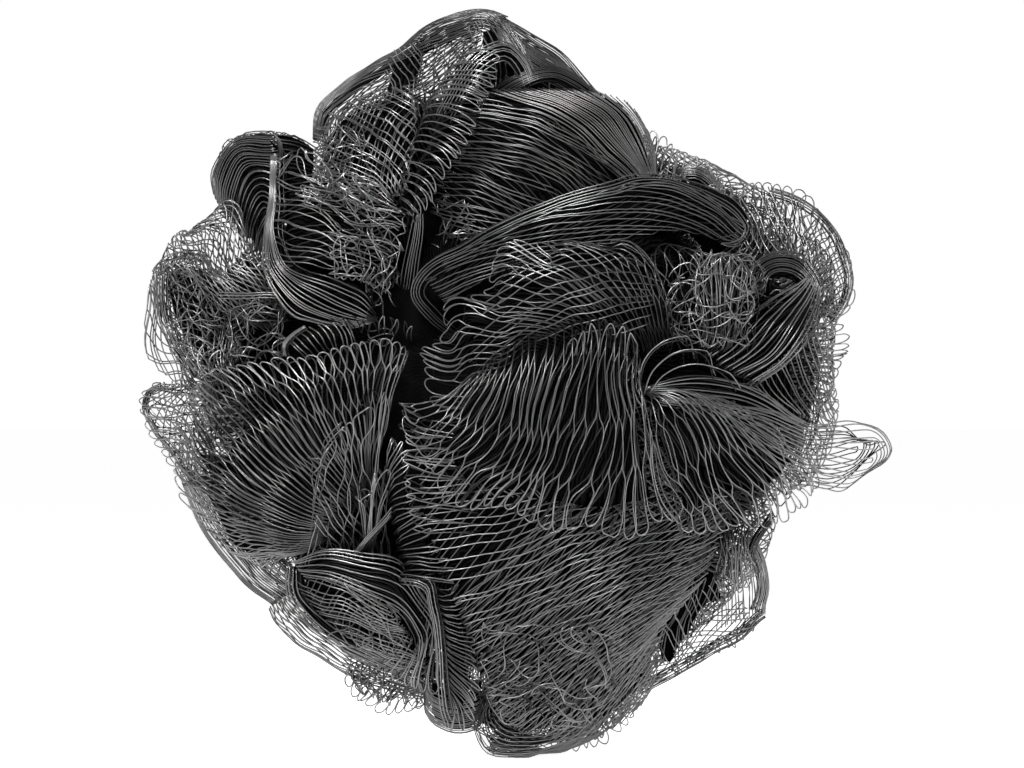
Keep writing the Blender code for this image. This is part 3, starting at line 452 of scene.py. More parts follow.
LEFT = {
    "left_fan": [
        fold([
            [(378, 470, 40), (357, 482, 41), (338, 490, 42), (322, 500, 42), (313, 515, 41),
             (310, 530, 40), (312, 545, 38)],
            [(392, 405, 42), (370, 408, 43), (345, 412, 44), (317, 418, 44), (290, 427, 43),
             (268, 441, 41), (252, 460, 39), (246, 482, 37), (250, 508, 35), (264, 532, 33),
             (290, 552, 32)],
            [(408, 352, 40), (392, 338, 42), (368, 341, 43), (342, 348, 43), (314, 355, 43),
             (285, 360, 42), (256, 363, 40), (230, 366, 37), (210, 380, 32), (194, 402, 27),
             (186, 430, 24), (185, 460, 22), (193, 492, 20), (215, 520, 19), (245, 545, 19),
             (276, 562, 20)],
        ], kind="edge", spacing=2.0, cell=8, crown=3, wave=0.8, lined=(0.04, 0.8), strand=0.3),
        fold([
            [(312, 505, 40), (310, 548, 38)],
            [(285, 486, 38), (292, 556, 32)],
            [(245, 468, 34), (262, 560, 24)],
            [(196, 452, 26), (222, 540, 18)],
        ], kind="run", spacing=1.5, cell=5, full=1.0, wave=0.3, mess=1.4, strand=0.26,
           lined=(0.0, 1.0), dull=0.15),
    ],
    "inner_mesh": [
        fold([
            [(318, 574, 34), (345, 578, 35), (368, 580, 35), (392, 576, 34)],
            [(318, 500, 43), (342, 490, 45), (366, 482, 45), (390, 470, 44)],
            [(320, 462, 44), (326, 440, 46), (346, 417, 47), (367, 406, 47), (382, 398, 46),
             (396, 406, 44)],
        ], kind="edge", spacing=3.4, cell=6, packed=0.97, start=0.0, wave=0.5, seat=False,
           root=0.3, mess=1.4, cross=0.1),
        fold([
            [(308, 560, 39), (314, 560, 40)],
            [(314, 522, 43), (321, 522, 44)],
            [(317, 490, 45), (324, 490, 46)],
            [(320, 460, 46), (327, 463, 47)],
            [(328, 437, 46), (334, 442, 47)],
            [(347, 416, 46), (351, 423, 47)],
        ], kind="run", spacing=0.8, full=0.6, cell=9, packed=0, seat=False, mess=1.2),
        fold([
            [(320, 462, 46), (320, 492, 46), (316, 524, 44)],
            [(342, 492, 46), (338, 514, 45), (332, 536, 43)],
            [(370, 530, 41), (362, 546, 40), (350, 560, 38)],
        ], kind="run", spacing=2.4, full=0.6, cell=12, packed=0, seat=False, mess=1.4),
        fold([
            [(368, 545, 42), (376, 543, 43)],
            [(364, 512, 46), (384, 505, 47)],
            [(366, 497, 47), (368, 482, 48), (377, 471, 48), (387, 466, 48), (393, 474, 47)],
        ], kind="edge", spacing=1.6, cell=20, packed=0.6, seat=False, root=0.2, start=0),
        fold([
            [(396, 500, 47), (393, 516, 47)],
            [(378, 524, 46), (376, 534, 46)],
            [(358, 546, 42), (356, 556, 41)],
        ], kind="run", spacing=1.0, full=0.6, cell=30, packed=0, seat=False),
        fold([
            [(298, 536, 34), (318, 536, 36), (340, 540, 37)],
            [(296, 572, 33), (318, 572, 35), (342, 572, 37)],
        ], kind="tangle", spacing=1.6, packed=1.0, seat=False, behind=0.2, lined=(0.0, 1.0),
           dull=0.3),
    ],
    "loose_loops": [
        fold([
            [(282, 176, 31), (280, 206, 33), (280, 236, 34), (284, 268, 35)],
            [(306, 174, 34), (304, 204, 36), (308, 236, 38), (316, 268, 38)],
            [(345, 184, 35), (346, 212, 38), (346, 244, 39), (350, 274, 39)],
            [(390, 206, 35), (396, 230, 37), (392, 254, 38), (382, 278, 38)],
        ], kind="run", spacing=1.3, cell=5, mess=2.8, lined=(0.0, 1.0), behind=1.6, wave=0.3,
           strand=0.27, full=0.8, shade=0.5, dull=0.2),
        fold([
            [(290, 190, 37), (330, 240, 41), (330, 280, 40)],
            [(340, 186, 38), (365, 240, 41), (365, 285, 40)],
            [(398, 212, 36), (400, 250, 37), (392, 300, 37)],
        ], kind="tangle", spacing=1.8, seat=False, packed=0, shade=0.4),
        fold([
            [(274, 180, 33), (300, 184, 35), (340, 196, 38), (368, 206, 38)],
            [(284, 150, 32), (300, 150, 34), (330, 168, 36), (372, 184, 38)],
        ], kind="tangle", spacing=2.0, seat=False, packed=0, shade=0.3),
        fold([
            [(330, 336, 36), (360, 333, 37), (392, 336, 35), (412, 344, 33)],
            [(328, 322, 37), (360, 317, 38), (394, 321, 36), (416, 330, 34)],
        ], kind="edge", spacing=3.0, cell=60, seat=False, start=0, packed=0, full=0.5),
    ],
    "crescent_roll": fold([
        [(277, 160, 26), (284, 160, 28)],
        [(276, 200, 30), (284, 200, 32)],
        [(270, 238, 31), (284, 238, 35)],
        [(270, 268, 31), (291, 260, 37)],
        [(279, 298, 33), (312, 275, 39)],
        [(300, 322, 34), (345, 286, 40)],
        [(340, 328, 35), (368, 296, 40)],
        [(374, 322, 34), (379, 312, 37)],
    ], kind="run", spacing=0.9, full=1.3, cell=60, lined=(0.0, 1.0), behind=0.5, strand=0.24,
       mess=1.2),
    "small_pipe": [
        fold([
            [(289, 342, 37), (298, 335, 39), (312, 329, 40), (330, 325, 40), (350, 325, 38)],
            [(299, 348, 40), (310, 342, 42), (323, 338, 42), (338, 335, 41), (354, 335, 38)],
            [(312, 357, 38), (322, 353, 39), (334, 349, 39), (346, 347, 38), (358, 347, 36)],
        ], kind="run", spacing=1.2, full=0.6, cell=60, lined=(0.0, 1.0), behind=0.4, strand=0.26),
        fold([
            [(289, 356, 37), (291, 356, 38)],
            [(287, 344, 38), (290, 346, 40)],
            [(296, 336, 39), (298, 338, 41)],
            [(311, 329, 40), (312, 332, 42)],
        ], kind="run", spacing=0.5, full=0.3, cell=60, packed=0),
    ],
    "left_knob": [
        fold([
            [(213, 192, 2), (222, 209, 4), (236, 227, 8), (250, 243, 12), (265, 258, 15)],
            [(213, 166, 1), (225, 184, 8), (240, 201, 13), (254, 218, 17), (268, 240, 19)],
            [(236, 138, 2), (245, 160, 13), (257, 182, 18), (265, 204, 20), (273, 228, 20)],
            [(276, 133, 9), (280, 160, 18), (281, 185, 21), (280, 208, 22), (278, 234, 21)],
        ], kind="run", spacing=1.1, full=0.4, cell=30, bunch=0.2, behind=0.6, mess=1.0,
           lined=(0.0, 1.0), dull=0.3, strand=0.27, shade=0.4),
        fold([
            [(276, 134, 12), (278, 182, 22)],
            [(296, 138, 12), (297, 184, 21)],
            [(314, 149, 11), (313, 186, 18)],
        ], kind="run", spacing=1.3, full=0.4, cell=60, lined=(0.0, 1.0), behind=0.4, dull=0.5),
        fold([
            [(272, 135, 14), (275, 138, 15)],
            [(281, 152, 22), (286, 154, 23)],
            [(282, 176, 26), (287, 177, 27)],
            [(278, 205, 30), (284, 206, 31)],
            [(271, 240, 30), (279, 242, 31)],
        ], kind="run", spacing=0.7, full=0.5, cell=60, dull=0.6),
    ],
    "left_mid_mesh": [
        fold([
            [(276, 268, 21), (262, 292, 23), (240, 304, 23), (216, 310, 22)],
            [(250, 245, 19), (230, 255, 19), (208, 265, 18), (190, 275, 17)],
            [(232, 207, 14), (208, 213, 10), (190, 229, 9), (173, 244, 10), (160, 263, 14)],
        ], kind="fold", spacing=1.6, cell=3.4, mess=1.6, packed=0.75, wave=0.3),
        fold([
            [(232, 300, 22), (262, 300, 25), (290, 300, 26)],
            [(228, 330, 24), (258, 330, 26), (290, 330, 27)],
            [(228, 358, 26), (258, 360, 27), (290, 358, 28)],
        ], kind="tangle", spacing=1.4, seat=False, packed=0),
        fold([
            [(222, 292, 26), (222, 300, 26)],
            [(250, 292, 28), (250, 300, 28)],
            [(282, 294, 30), (282, 302, 30)],
        ], kind="run", spacing=0.6, full=0.6, cell=60, seat=False, packed=0),
    ],
    "left_outer_roll": [
        fold([
            [(172, 262, 4), (160, 268, 2), (148, 290, 1)],
            [(200, 268, 8), (176, 292, 6), (146, 330, 0)],
            [(226, 282, 11), (196, 320, 9), (156, 372, 2)],
            [(240, 310, 13), (214, 352, 11), (176, 390, 5)],
            [(242, 350, 14), (226, 378, 13), (206, 392, 10)],
        ], kind="run", spacing=1.5, cell=2.8, mess=1.7, wave=0.2, lined=(0.04, 0.62), behind=1.6,
           full=0.8, shade=0.5),
        fold([
            [(156, 266, 6), (172, 268, 8)],
            [(158, 300, 6), (170, 300, 8)],
            [(166, 340, 8), (180, 336, 10)],
            [(190, 380, 10), (204, 370, 12)],
        ], kind="run", spacing=0.7, cell=30, full=0.8, packed=0),
        fold([
            [(152, 276, 4), (176, 262, 8), (206, 262, 10)],
            [(156, 268, 3), (178, 254, 7), (208, 256, 9)],
        ], kind="tangle", spacing=1.0, seat=False, packed=0, full=1.0),
        fold([
            [(240, 275, 14), (205, 268, 11), (172, 270, 7)],
            [(232, 320, 15), (200, 320, 11), (170, 320, 6)],
            [(238, 375, 16), (205, 378, 13), (178, 380, 8)],
        ], kind="tangle", spacing=1.5, seat=False, packed=0),
    ],
    "left_low_veil": [
        fold([
            [(160, 384, 3), (186, 380, 7), (214, 384, 10)],
            [(143, 404, 1), (178, 408, 6), (214, 418, 9)],
            [(156, 436, 2), (184, 436, 5), (212, 448, 8)],
            [(190, 482, 4), (200, 480, 6), (208, 480, 7)],
        ], kind="run", spacing=1.6, cell=2.2, packed=0, mess=0.5, wave=0.2, ruffle=0.3, full=1.0,
           strand=0.28),
        fold([
            [(164, 382, 3), (166, 387, 4)],
            [(146, 391, 1), (150, 395, 2)],
            [(142, 406, 1), (147, 407, 2)],
            [(150, 427, 2), (155, 425, 3)],
            [(165, 449, 3), (170, 446, 4)],
            [(178, 469, 4), (183, 466, 5)],
            [(190, 483, 5), (195, 479, 6)],
        ], kind="run", spacing=0.6, cell=30, packed=0, full=0.5, seat=False, strand=0.28),
        fold([
            [(214, 384, 6), (216, 420, 8), (212, 452, 8), (206, 480, 7)],
            [(160, 384, 2), (146, 391, 1), (142, 406, 1), (150, 427, 2), (165, 449, 3),
             (178, 469, 4), (190, 482, 5)],
        ], kind="edge", spacing=2.2, cell=5, packed=0.2, mess=0.3, ruffle=0.3, wave=0.3, arch=0.3),
    ],
    "left_low_edge": fold([
        [(185, 481, 6), (205, 476, 11)],
        [(194, 510, 6), (228, 498, 13)],
        [(214, 545, 7), (256, 527, 15)],
        [(244, 579, 8), (284, 558, 16)],
        [(272, 603, 10), (304, 582, 17)],
    ], kind="run", spacing=0.6, cell=30, packed=0, full=1.4),
}

LOWER = {
    "lower_left_pocket": [
        fold([
            [(298, 560, 38), (303, 566, 40), (308, 574, 41)],
            [(325, 548, 41), (332, 562, 43), (340, 577, 43)],
            [(362, 549, 42), (368, 572, 45), (376, 594, 45)],
            [(396, 553, 42), (398, 582, 45), (401, 608, 45)],
            [(420, 590, 40), (417, 610, 43), (413, 630, 43)],
            [(439, 636, 37), (431, 644, 39), (422, 652, 39)],
        ], kind="run", spacing=1.3, full=1.2, cell=40, dull=0.1, bunch=0.5),
        fold([
            [(298, 576, 38), (318, 602, 38), (345, 626, 37), (372, 646, 36), (394, 668, 34)],
            [(330, 574, 42), (348, 596, 43), (370, 618, 42), (392, 641, 40), (412, 664, 36)],
            [(372, 578, 43), (388, 600, 44), (402, 620, 44), (418, 642, 41), (434, 666, 37)],
        ], kind="run", spacing=1.5, cell=2.0, full=0.6, wave=0.2, mess=1.6, strand=0.27,
           seat=False, lined=(0.0, 1.0), behind=1.6, shade=0.35),
        fold([
            [(300, 575, 39), (315, 610, 38), (340, 640, 36)],
            [(345, 570, 43), (355, 605, 43), (375, 645, 40)],
            [(400, 600, 43), (405, 630, 42), (420, 665, 38)],
        ], kind="tangle", spacing=2.4, seat=False, packed=0),
        fold([
            [(292, 560, 38), (302, 566, 39)],
            [(289, 582, 37), (304, 586, 39)],
            [(300, 608, 36), (317, 606, 38)],
            [(326, 636, 35), (340, 626, 37)],
            [(362, 656, 34), (370, 642, 37)],
            [(388, 664, 33), (392, 650, 36)],
        ], kind="run", spacing=1.2, full=1.0, cell=30, dull=0.1),
        fold([
            [(400, 640, 38), (425, 645, 38), (442, 650, 38)],
            [(386, 650, 36), (395, 668, 36), (412, 680, 35), (432, 684, 34), (447, 680, 34)],
        ], kind="edge", spacing=1.6),
    ],
    "lower_left_veil": [
        fold([
            [(271, 606, 12), (280, 592, 15), (296, 578, 18)],
            [(284, 629, 11), (302, 611, 15), (322, 600, 19)],
            [(316, 653, 9), (336, 636, 14), (355, 624, 19)],
            [(348, 670, 8), (368, 655, 13), (388, 645, 19)],
            [(385, 684, 8), (400, 672, 12), (415, 662, 18)],
            [(432, 700, 10), (438, 690, 12), (444, 680, 16)],
        ], kind="run", spacing=0.85, cell=7, lined=(0.5, 0.96), full=1.6, wave=0.5, mess=1.2,
           strand=0.3),
        fold([
            [(352, 655, 14), (390, 664, 16), (432, 680, 16)],
            [(344, 668, 9), (352, 688, 8), (370, 701, 8), (392, 707, 8), (414, 707, 9),
             (430, 700, 10)],
        ], kind="edge", spacing=1.6, cell=4, packed=0, seat=False, start=0, mess=1.2),
        fold([
            [(346, 664, 11), (390, 676, 11), (440, 690, 12)],
            [(356, 690, 9), (388, 702, 9), (430, 704, 10)],
        ], kind="tangle", spacing=1.5, seat=False, packed=0, strand=0.28),
    ],
    "bottom_roll": [
        fold([
            [(496, 694, 27), (484, 694, 25)],
            [(496, 712, 29), (474, 722, 26)],
            [(507, 722, 29), (484, 747, 26)],
            [(526, 724, 28), (512, 751, 25)],
            [(556, 720, 26), (548, 743, 22)],
            [(592, 708, 22), (584, 728, 18)],
            [(612, 694, 14), (604, 712, 10)],
        ], kind="run", spacing=0.9, full=1.2, cell=60, packed=0, strand=0.28),
        fold([
            [(472, 690, 18), (472, 722, 14)],
            [(500, 684, 24), (500, 738, 14)],
            [(545, 684, 24), (545, 736, 12)],
            [(590, 680, 20), (588, 722, 10)],
            [(626, 670, 16), (622, 704, 8)],
        ], kind="run", spacing=1.6, cell=3, wave=0.2, mess=1.3, seat=False, behind=0.2,
           lined=(0.0, 0.85), dull=0.2),
        fold([
            [(590, 725, -12), (600, 728, 2), (585, 715, 16)],
            [(560, 742, -16), (565, 743, 2), (560, 735, 18)],
            [(525, 745, -18), (525, 746, 2), (525, 743, 20)],
            [(494, 738, -14), (490, 741, 4), (492, 735, 20)],
        ], kind="run", spacing=1.3, cell=5, full=1.0, mess=1.4, packed=0, dull=0.2),
    ],
    "bottom_veil": fold([
        [(556, 705, 2), (590, 700, 4), (622, 688, 6)],
        [(545, 738, -2), (562, 748, -3), (586, 747, -3), (608, 737, -2), (626, 722, 0),
         (636, 702, 2), (636, 686, 4)],
    ], kind="edge", spacing=2.5, cell=14, packed=0, full=1.0),
    "lower_right_veil": [
        fold([
            [(664, 606, 25), (688, 590, 23), (706, 579, 21), (718, 574, 18)],
            [(660, 632, 19), (684, 620, 17), (706, 604, 15), (722, 592, 13)],
            [(658, 654, 14), (680, 644, 12), (700, 630, 11), (716, 612, 10)],
        ], kind="run", spacing=1.7, cell=4, mess=2.0, full=0.8, lined=(0.0, 1.0), behind=1.4,
           wave=0.3, seat=False, shade=0.4),
        fold([
            [(716, 556, 13), (740, 548, 11), (757, 544, 10)],
            [(716, 590, 12), (742, 588, 10), (765, 588, 8)],
            [(714, 626, 10), (740, 620, 9), (761, 614, 8)],
        ], kind="run", spacing=0.85, cell=30, mess=0.8, full=0.4, packed=0, strand=0.22, bunch=0.8,
           shade=0.4),
        fold([
            [(738, 532, 12), (752, 536, 10)],
            [(752, 560, 11), (764, 563, 9)],
            [(756, 590, 10), (768, 590, 8)],
            [(748, 612, 9), (762, 613, 8)],
        ], kind="run", spacing=0.5, full=0.6, cell=12, packed=0, strand=0.3, shade=0.3),
        fold([
            [(636, 684, 11), (640, 693, 10)],
            [(668, 665, 10), (673, 675, 9)],
            [(706, 643, 9), (711, 653, 8)],
            [(742, 623, 9), (746, 634, 8)],
            [(760, 609, 8), (766, 617, 8)],
        ], kind="run", spacing=0.5, full=0.6, cell=20, packed=0, strand=0.3, dull=0.2),
        fold([
            [(640, 664, 14), (641, 686, 12)],
            [(672, 644, 13), (676, 666, 11)],
            [(706, 620, 12), (712, 645, 10)],
            [(742, 600, 11), (750, 624, 9)],
        ], kind="run", spacing=1.1, full=0.8, cell=2.6, wave=0.4, packed=0, mess=1.2, shade=0.4),
        fold([
            [(662, 668, 10), (698, 646, 9), (730, 630, 9), (758, 612, 8)],
            [(672, 672, 9), (690, 662, 8), (707, 655, 7), (726, 645, 7), (745, 634, 7),
             (762, 622, 7)],
        ], kind="edge", spacing=3.0, cell=60, packed=0, seat=False, start=0, full=0.5),
        fold([
            [(712, 522, 27), (728, 522, 27), (746, 522, 25)],
            [(716, 548, 26), (728, 552, 25), (744, 546, 23)],
            [(717, 558, 25), (722, 578, 23), (732, 588, 22), (741, 580, 21), (745, 558, 21)],
        ], kind="edge", spacing=1.7, cell=6, packed=0, seat=False, start=0),
        fold([
            [(766, 512, 19), (772, 517, 18)],
            [(752, 534, 16), (758, 537, 15)],
            [(743, 558, 14), (749, 560, 13)],
        ], kind="run", spacing=0.4, cell=40, full=0.6, packed=0, dull=0.4),
    ],
}

RIGHT = {
    "right_roll": [
        fold([
            [(800, 284, 26), (807, 286, 27), (813, 292, 26)],
            [(775, 297, 30), (796, 306, 32), (812, 315, 29)],
            [(745, 312, 34), (776, 326, 36), (805, 335, 31)],
            [(722, 330, 37), (752, 348, 37), (788, 356, 33)],
            [(702, 352, 37), (722, 368, 37), (750, 388, 35)],
        ], kind="run", spacing=1.15, full=1.2, cell=60, mess=0.9, lined=(0.0, 0.95)),
        fold([
            [(742, 296, 24), (764, 294, 27)],
            [(748, 270, 22), (768, 280, 27)],
            [(772, 255, 19), (780, 276, 26)],
            [(797, 257, 18), (790, 278, 26)],
            [(812, 274, 20), (796, 284, 27)],
            [(814, 294, 23), (798, 296, 28)],
        ], kind="run", spacing=0.95, full=1.0, cell=60, behind=0.2, lined=(0.0, 1.0), dull=0.35),
        fold([
            [(735, 300, 25), (738, 286, 26)],
            [(760, 300, 26), (755, 280, 26)],
            [(785, 300, 27), (780, 282, 26)],
        ], kind="tangle", spacing=1.5, packed=0.9, seat=False, behind=0.2),
    ],
    "right_side_mesh": fold([
        [(740, 300, 24), (780, 300, 14), (815, 300, 4)],
        [(728, 340, 28), (780, 340, 16), (823, 340, 4)],
        [(738, 385, 28), (785, 385, 16), (824, 385, 4)],
        [(760, 420, 26), (795, 424, 16), (822, 423, 6)],
    ], kind="run", spacing=2.0, cell=4.5, mess=1.2, lined=(0.04, 0.7), wave=0.2),
    "right_outer_veil": [
        fold([
            [(735, 240, 8), (757, 264, 9), (792, 280, 9), (815, 300, 9), (818, 318, 8)],
            [(725, 196, -2), (745, 187, -3), (775, 188, -4), (799, 202, -5), (821, 225, -5),
             (837, 250, -5), (842, 278, -4), (837, 300, -3), (827, 317, -2)],
        ], kind="edge", spacing=2.0, cell=4.5, packed=0.4, wave=0.5, strand=0.28, arch=0.4),
        fold([
            [(726, 198, 4), (745, 190, 4), (775, 191, 3), (800, 203, 2)],
            [(730, 225, 8), (750, 225, 8), (778, 228, 7), (806, 238, 5)],
            [(738, 256, 12), (758, 262, 12), (784, 268, 11), (812, 276, 8)],
        ], kind="run", spacing=1.5, cell=7, wave=0.3, mess=1.3, packed=0, full=1.0),
        fold([
            [(800, 206, 0), (826, 226, -1), (841, 250, -2)],
            [(796, 250, 3), (818, 258, 2), (846, 278, -1)],
            [(804, 290, 5), (822, 296, 3), (842, 302, 0)],
            [(814, 314, 5), (826, 316, 3), (832, 318, 1)],
        ], kind="run", spacing=1.4, cell=2.2, wave=0.2, packed=0, full=1.0),
        fold([
            [(770, 188, -2), (768, 194, 0)],
            [(801, 199, -3), (797, 205, -1)],
            [(827, 220, -3), (822, 225, -1)],
            [(844, 247, -3), (838, 250, -1)],
            [(850, 278, -2), (844, 278, 0)],
            [(845, 302, -1), (839, 300, 1)],
            [(832, 322, 0), (827, 318, 2)],
        ], kind="run", spacing=0.6, cell=30, full=0.6, packed=0, seat=False, strand=0.28),
    ],
    "right_small_veil": fold([
        [(817, 322, -6), (818, 350, -7), (822, 378, -7)],
        [(832, 320, -9), (842, 338, -10), (844, 352, -10), (836, 368, -9), (825, 380, -8)],
    ], kind="edge", spacing=1.5, cell=8, packed=0.3),
}

# The body of a fold whose sheets lie on its front only: it starts in the gathered netting.
BODIES = {
    "right_roll": [
        [(765, 285, 18), (770, 305, 22), (762, 340, 26), (738, 365, 28), (712, 380, 29)],
        [(800, 262, 15), (815, 290, 20), (805, 335, 26), (770, 370, 29), (740, 392, 30)],
    ],
    "right_side_mesh": [
        [(785, 310, 6), (790, 345, 6), (790, 390, 6), (785, 430, 8)],
        [(815, 298, 1), (823, 340, 0), (824, 385, 0), (822, 425, 3)],
    ],
    "upper_fan": [
        [(500, 150, 20), (550, 140, 20), (600, 140, 18), (632, 165, 16)],
        [(500, 104, 20), (550, 98, 19), (600, 102, 16), (640, 136, 12)],
    ],
    "top_tent_right": [
        [(495, 60, 6), (525, 80, 6), (550, 95, 5), (575, 108, 5), (590, 128, 6)],
        [(495, 18, 3), (530, 42, 2), (560, 60, 1), (585, 85, 2), (600, 106, 4)],
    ],
    "top_tent_left": [
        [(350, 140, 6), (378, 115, 5), (410, 90, 4), (450, 62, 4), (482, 55, 4)],
        [(318, 116, 2), (350, 89, 1), (398, 56, 0), (447, 23, 0), (480, 15, 2)],
    ],
    "left_knob": [
        [(252, 200, 4), (258, 180, 4), (270, 168, 4), (290, 166, 5), (308, 172, 6)],
        [(216, 190, 0), (222, 152, -2), (250, 135, -2), (283, 137, 2), (312, 150, 4)],
    ],
    "left_outer_roll": [
        [(190, 285, 0), (188, 312, -1), (190, 335, -1), (196, 352, 0), (208, 372, 0)],
        [(156, 272, -3), (148, 300, -4), (148, 330, -5), (152, 362, -4), (176, 388, -2)],
    ],
    "left_low_edge": [
        [(232, 470, 3), (246, 500, 3), (266, 528, 3), (290, 552, 4), (310, 572, 5)],
        [(190, 486, 0), (200, 512, 0), (218, 546, 0), (247, 578, 1), (275, 600, 2)],
    ],
    "lower_left_veil": [
        [(316, 580, 6), (332, 600, 6), (354, 618, 6), (378, 635, 6), (402, 650, 6), (430, 660, 6)],
        [(278, 608, 3), (293, 628, 2), (320, 650, 0), (352, 668, 0), (390, 680, 0),
         (430, 696, 2)],
    ],
    "lower_right_veil": [
        [(712, 545, 5), (720, 570, 5), (720, 592, 5), (708, 608, 5), (685, 622, 5), (655, 645, 5)],
        [(745, 545, 2), (754, 570, 0), (756, 590, 0), (745, 612, 0), (712, 635, 0),
         (660, 668, 1)],
    ],
    "bottom_roll": [
        [(490, 700, 2), (515, 704, 0), (545, 702, -2), (575, 692, -4), (596, 680, -6)],
        [(486, 742, 2), (512, 748, 0), (545, 743, -4), (582, 730, -8), (604, 712, -10)],
    ],
    "lower_front": [
        [(462, 640, 28), (520, 660, 27), (560, 665, 24), (600, 655, 22), (635, 625, 22)],
        [(462, 690, 28), (520, 718, 24), (565, 730, 18), (610, 716, 16), (640, 685, 16)],
    ],
    "lower_left_pocket": [
        [(330, 555, 26), (350, 590, 25), (380, 615, 24), (408, 632, 24), (436, 628, 26)],
        [(302, 578, 31), (324, 618, 29), (362, 648, 27), (396, 662, 27), (436, 656, 30)],
    ],
    "long_fold": [
        [(460, 292, 28), (515, 262, 31), (575, 238, 31), (640, 222, 29), (692, 226, 26)],
        [(440, 262, 36), (500, 228, 38), (570, 204, 38), (640, 184, 35), (720, 200, 29)],
    ],
    "crescent_roll": [
        [(312, 185, 22), (308, 235, 23), (312, 272, 24), (338, 292, 25), (374, 298, 26)],
        [(278, 168, 23), (273, 230, 26), (278, 288, 28), (312, 318, 30), (364, 322, 30)],
    ],
    "top_left_veil": [
        [(345, 150, 14), (360, 175, 18), (385, 198, 22), (408, 206, 26)],
        [(320, 146, 15), (334, 184, 22), (364, 208, 28), (404, 204, 31)],
    ],
}

# The folds at the outline, which light shows through, and how far their bodies reach, as a
# share of the way out from the middle.
OUTER_REACH = 0.94
OUTER_FOLDS = {
    "top_tent_left", "top_tent_right", "left_outer_roll", "left_low_edge", "lower_left_veil",
    "lower_right_veil", "right_side_mesh",
}

# The folds of the back lie in rings round the back eye: the number of folds and, in
# degrees from the eye, their gathered sides and their rims.
BACK_RINGS = ((4, 40, 13), (5, 69, 38), (6, 84.5, 61.4))
BACK_SHIFT = math.radians(9.6)
BACK_SWAY = math.radians(5)
BACK_GATHERED_WIDTH, BACK_RIM_WIDTH = 0.56, 1.04
BACK_GATHERED_RISE, BACK_RIM_RISE = 0.88, 1.01
BACK_RIM_BOW = 0.45

# The second sheets: how far each reaches past the rim, its width and its rise. The last
# ring's go over the ball's widest place, towards the front folds.
BACK_SECOND_REACH, BACK_SECOND_WIDTH, BACK_SECOND_RISE = 1.2, 1.15, 0.97
WAIST_SHEETS = ((math.radians(11), 0.88), (math.radians(24), 0.79))
WAIST_SHEET_WIDTH = 1.1
HALF_WIDTH, HALF_DEPTH = 70, 62
GIRTH = (60, 61, 51, 62, 60, 61, 65, 59, 60, 66, 58, 54)

# The gathered netting: two round bunches and the tied waist between them.
BUNCH_RADIUS, FLARE_LENGTH, DOME_LENGTH = 43, 10, 24
EYE_RADIUS, EYE_DEPTH = 12, 7
WAIST_RADIUS, WAIST_LENGTH = 6, 9
GATHER_TILT, GATHER_LIFT = math.radians(16), math.radians(5)


def placed(points):
    """Drawn points as world metres."""
    drawn = np.asarray(points, float) - MIDDLE_DRAWN
    return MIDDLE + drawn[..., (0, 2, 1)] * (STEP, -MM, -STEP)


def through(points, shares):
    """The smooth curve through points, or rows of points, read at shares of its length.

    A cubic Hermite curve whose slope at each point is the central difference.
    """
    points = np.asarray(points, float)
    steps = np.linalg.norm(np.diff(points, axis=0), axis=-1)
    steps = steps.reshape(len(steps), -1).mean(axis=1)
    knots = np.concatenate([[0], np.cumsum(steps)]) / steps.sum()
    slopes = np.gradient(points, knots, axis=0)
    before = np.clip(np.searchsorted(knots, shares, side="right") - 1, 0, len(knots) - 2)
    width = knots[before + 1] - knots[before]
    s = (shares - knots[before]) / width
    shape = (-1,) + (1,) * (points.ndim - 1)
    s, width = s.reshape(shape), width.reshape(shape)
    return (
        (2 * s**3 - 3 * s**2 + 1) * points[before]
        + (s**3 - 2 * s**2 + s) * width * slopes[before]
        + (3 * s**2 - 2 * s**3) * points[before + 1]
        + (s**3 - s**2) * width * slopes[before + 1]
    )


def wander(points, wavelength, seed):
    """A smooth vector noise about 1 high: the mean of nine sines in random directions."""
    rng = np.random.default_rng(seed)
    total = np.zeros_like(points)
    for _ in range(9):
        way = rng.normal(size=3)
        way *= rng.uniform(0.7, 1.4) * 2 * math.pi / (wavelength * np.linalg.norm(way))
        total += np.sin(points @ way + rng.uniform(0, 2 * math.pi))[..., None] * rng.normal(size=3)
    return total / 3


def unit(vectors):
    """Vectors made one long."""
    return vectors / np.maximum(np.linalg.norm(vectors, axis=-1, keepdims=True), 1e-12)


def outward_normals(surface):
    """Unit normals of a grid of points, on the side away from the ball's middle."""
    normals = unit(np.cross(np.gradient(surface, axis=1), np.gradient(surface, axis=0)))
    return normals if (normals * (surface - MIDDLE)).sum() > 0 else -normals


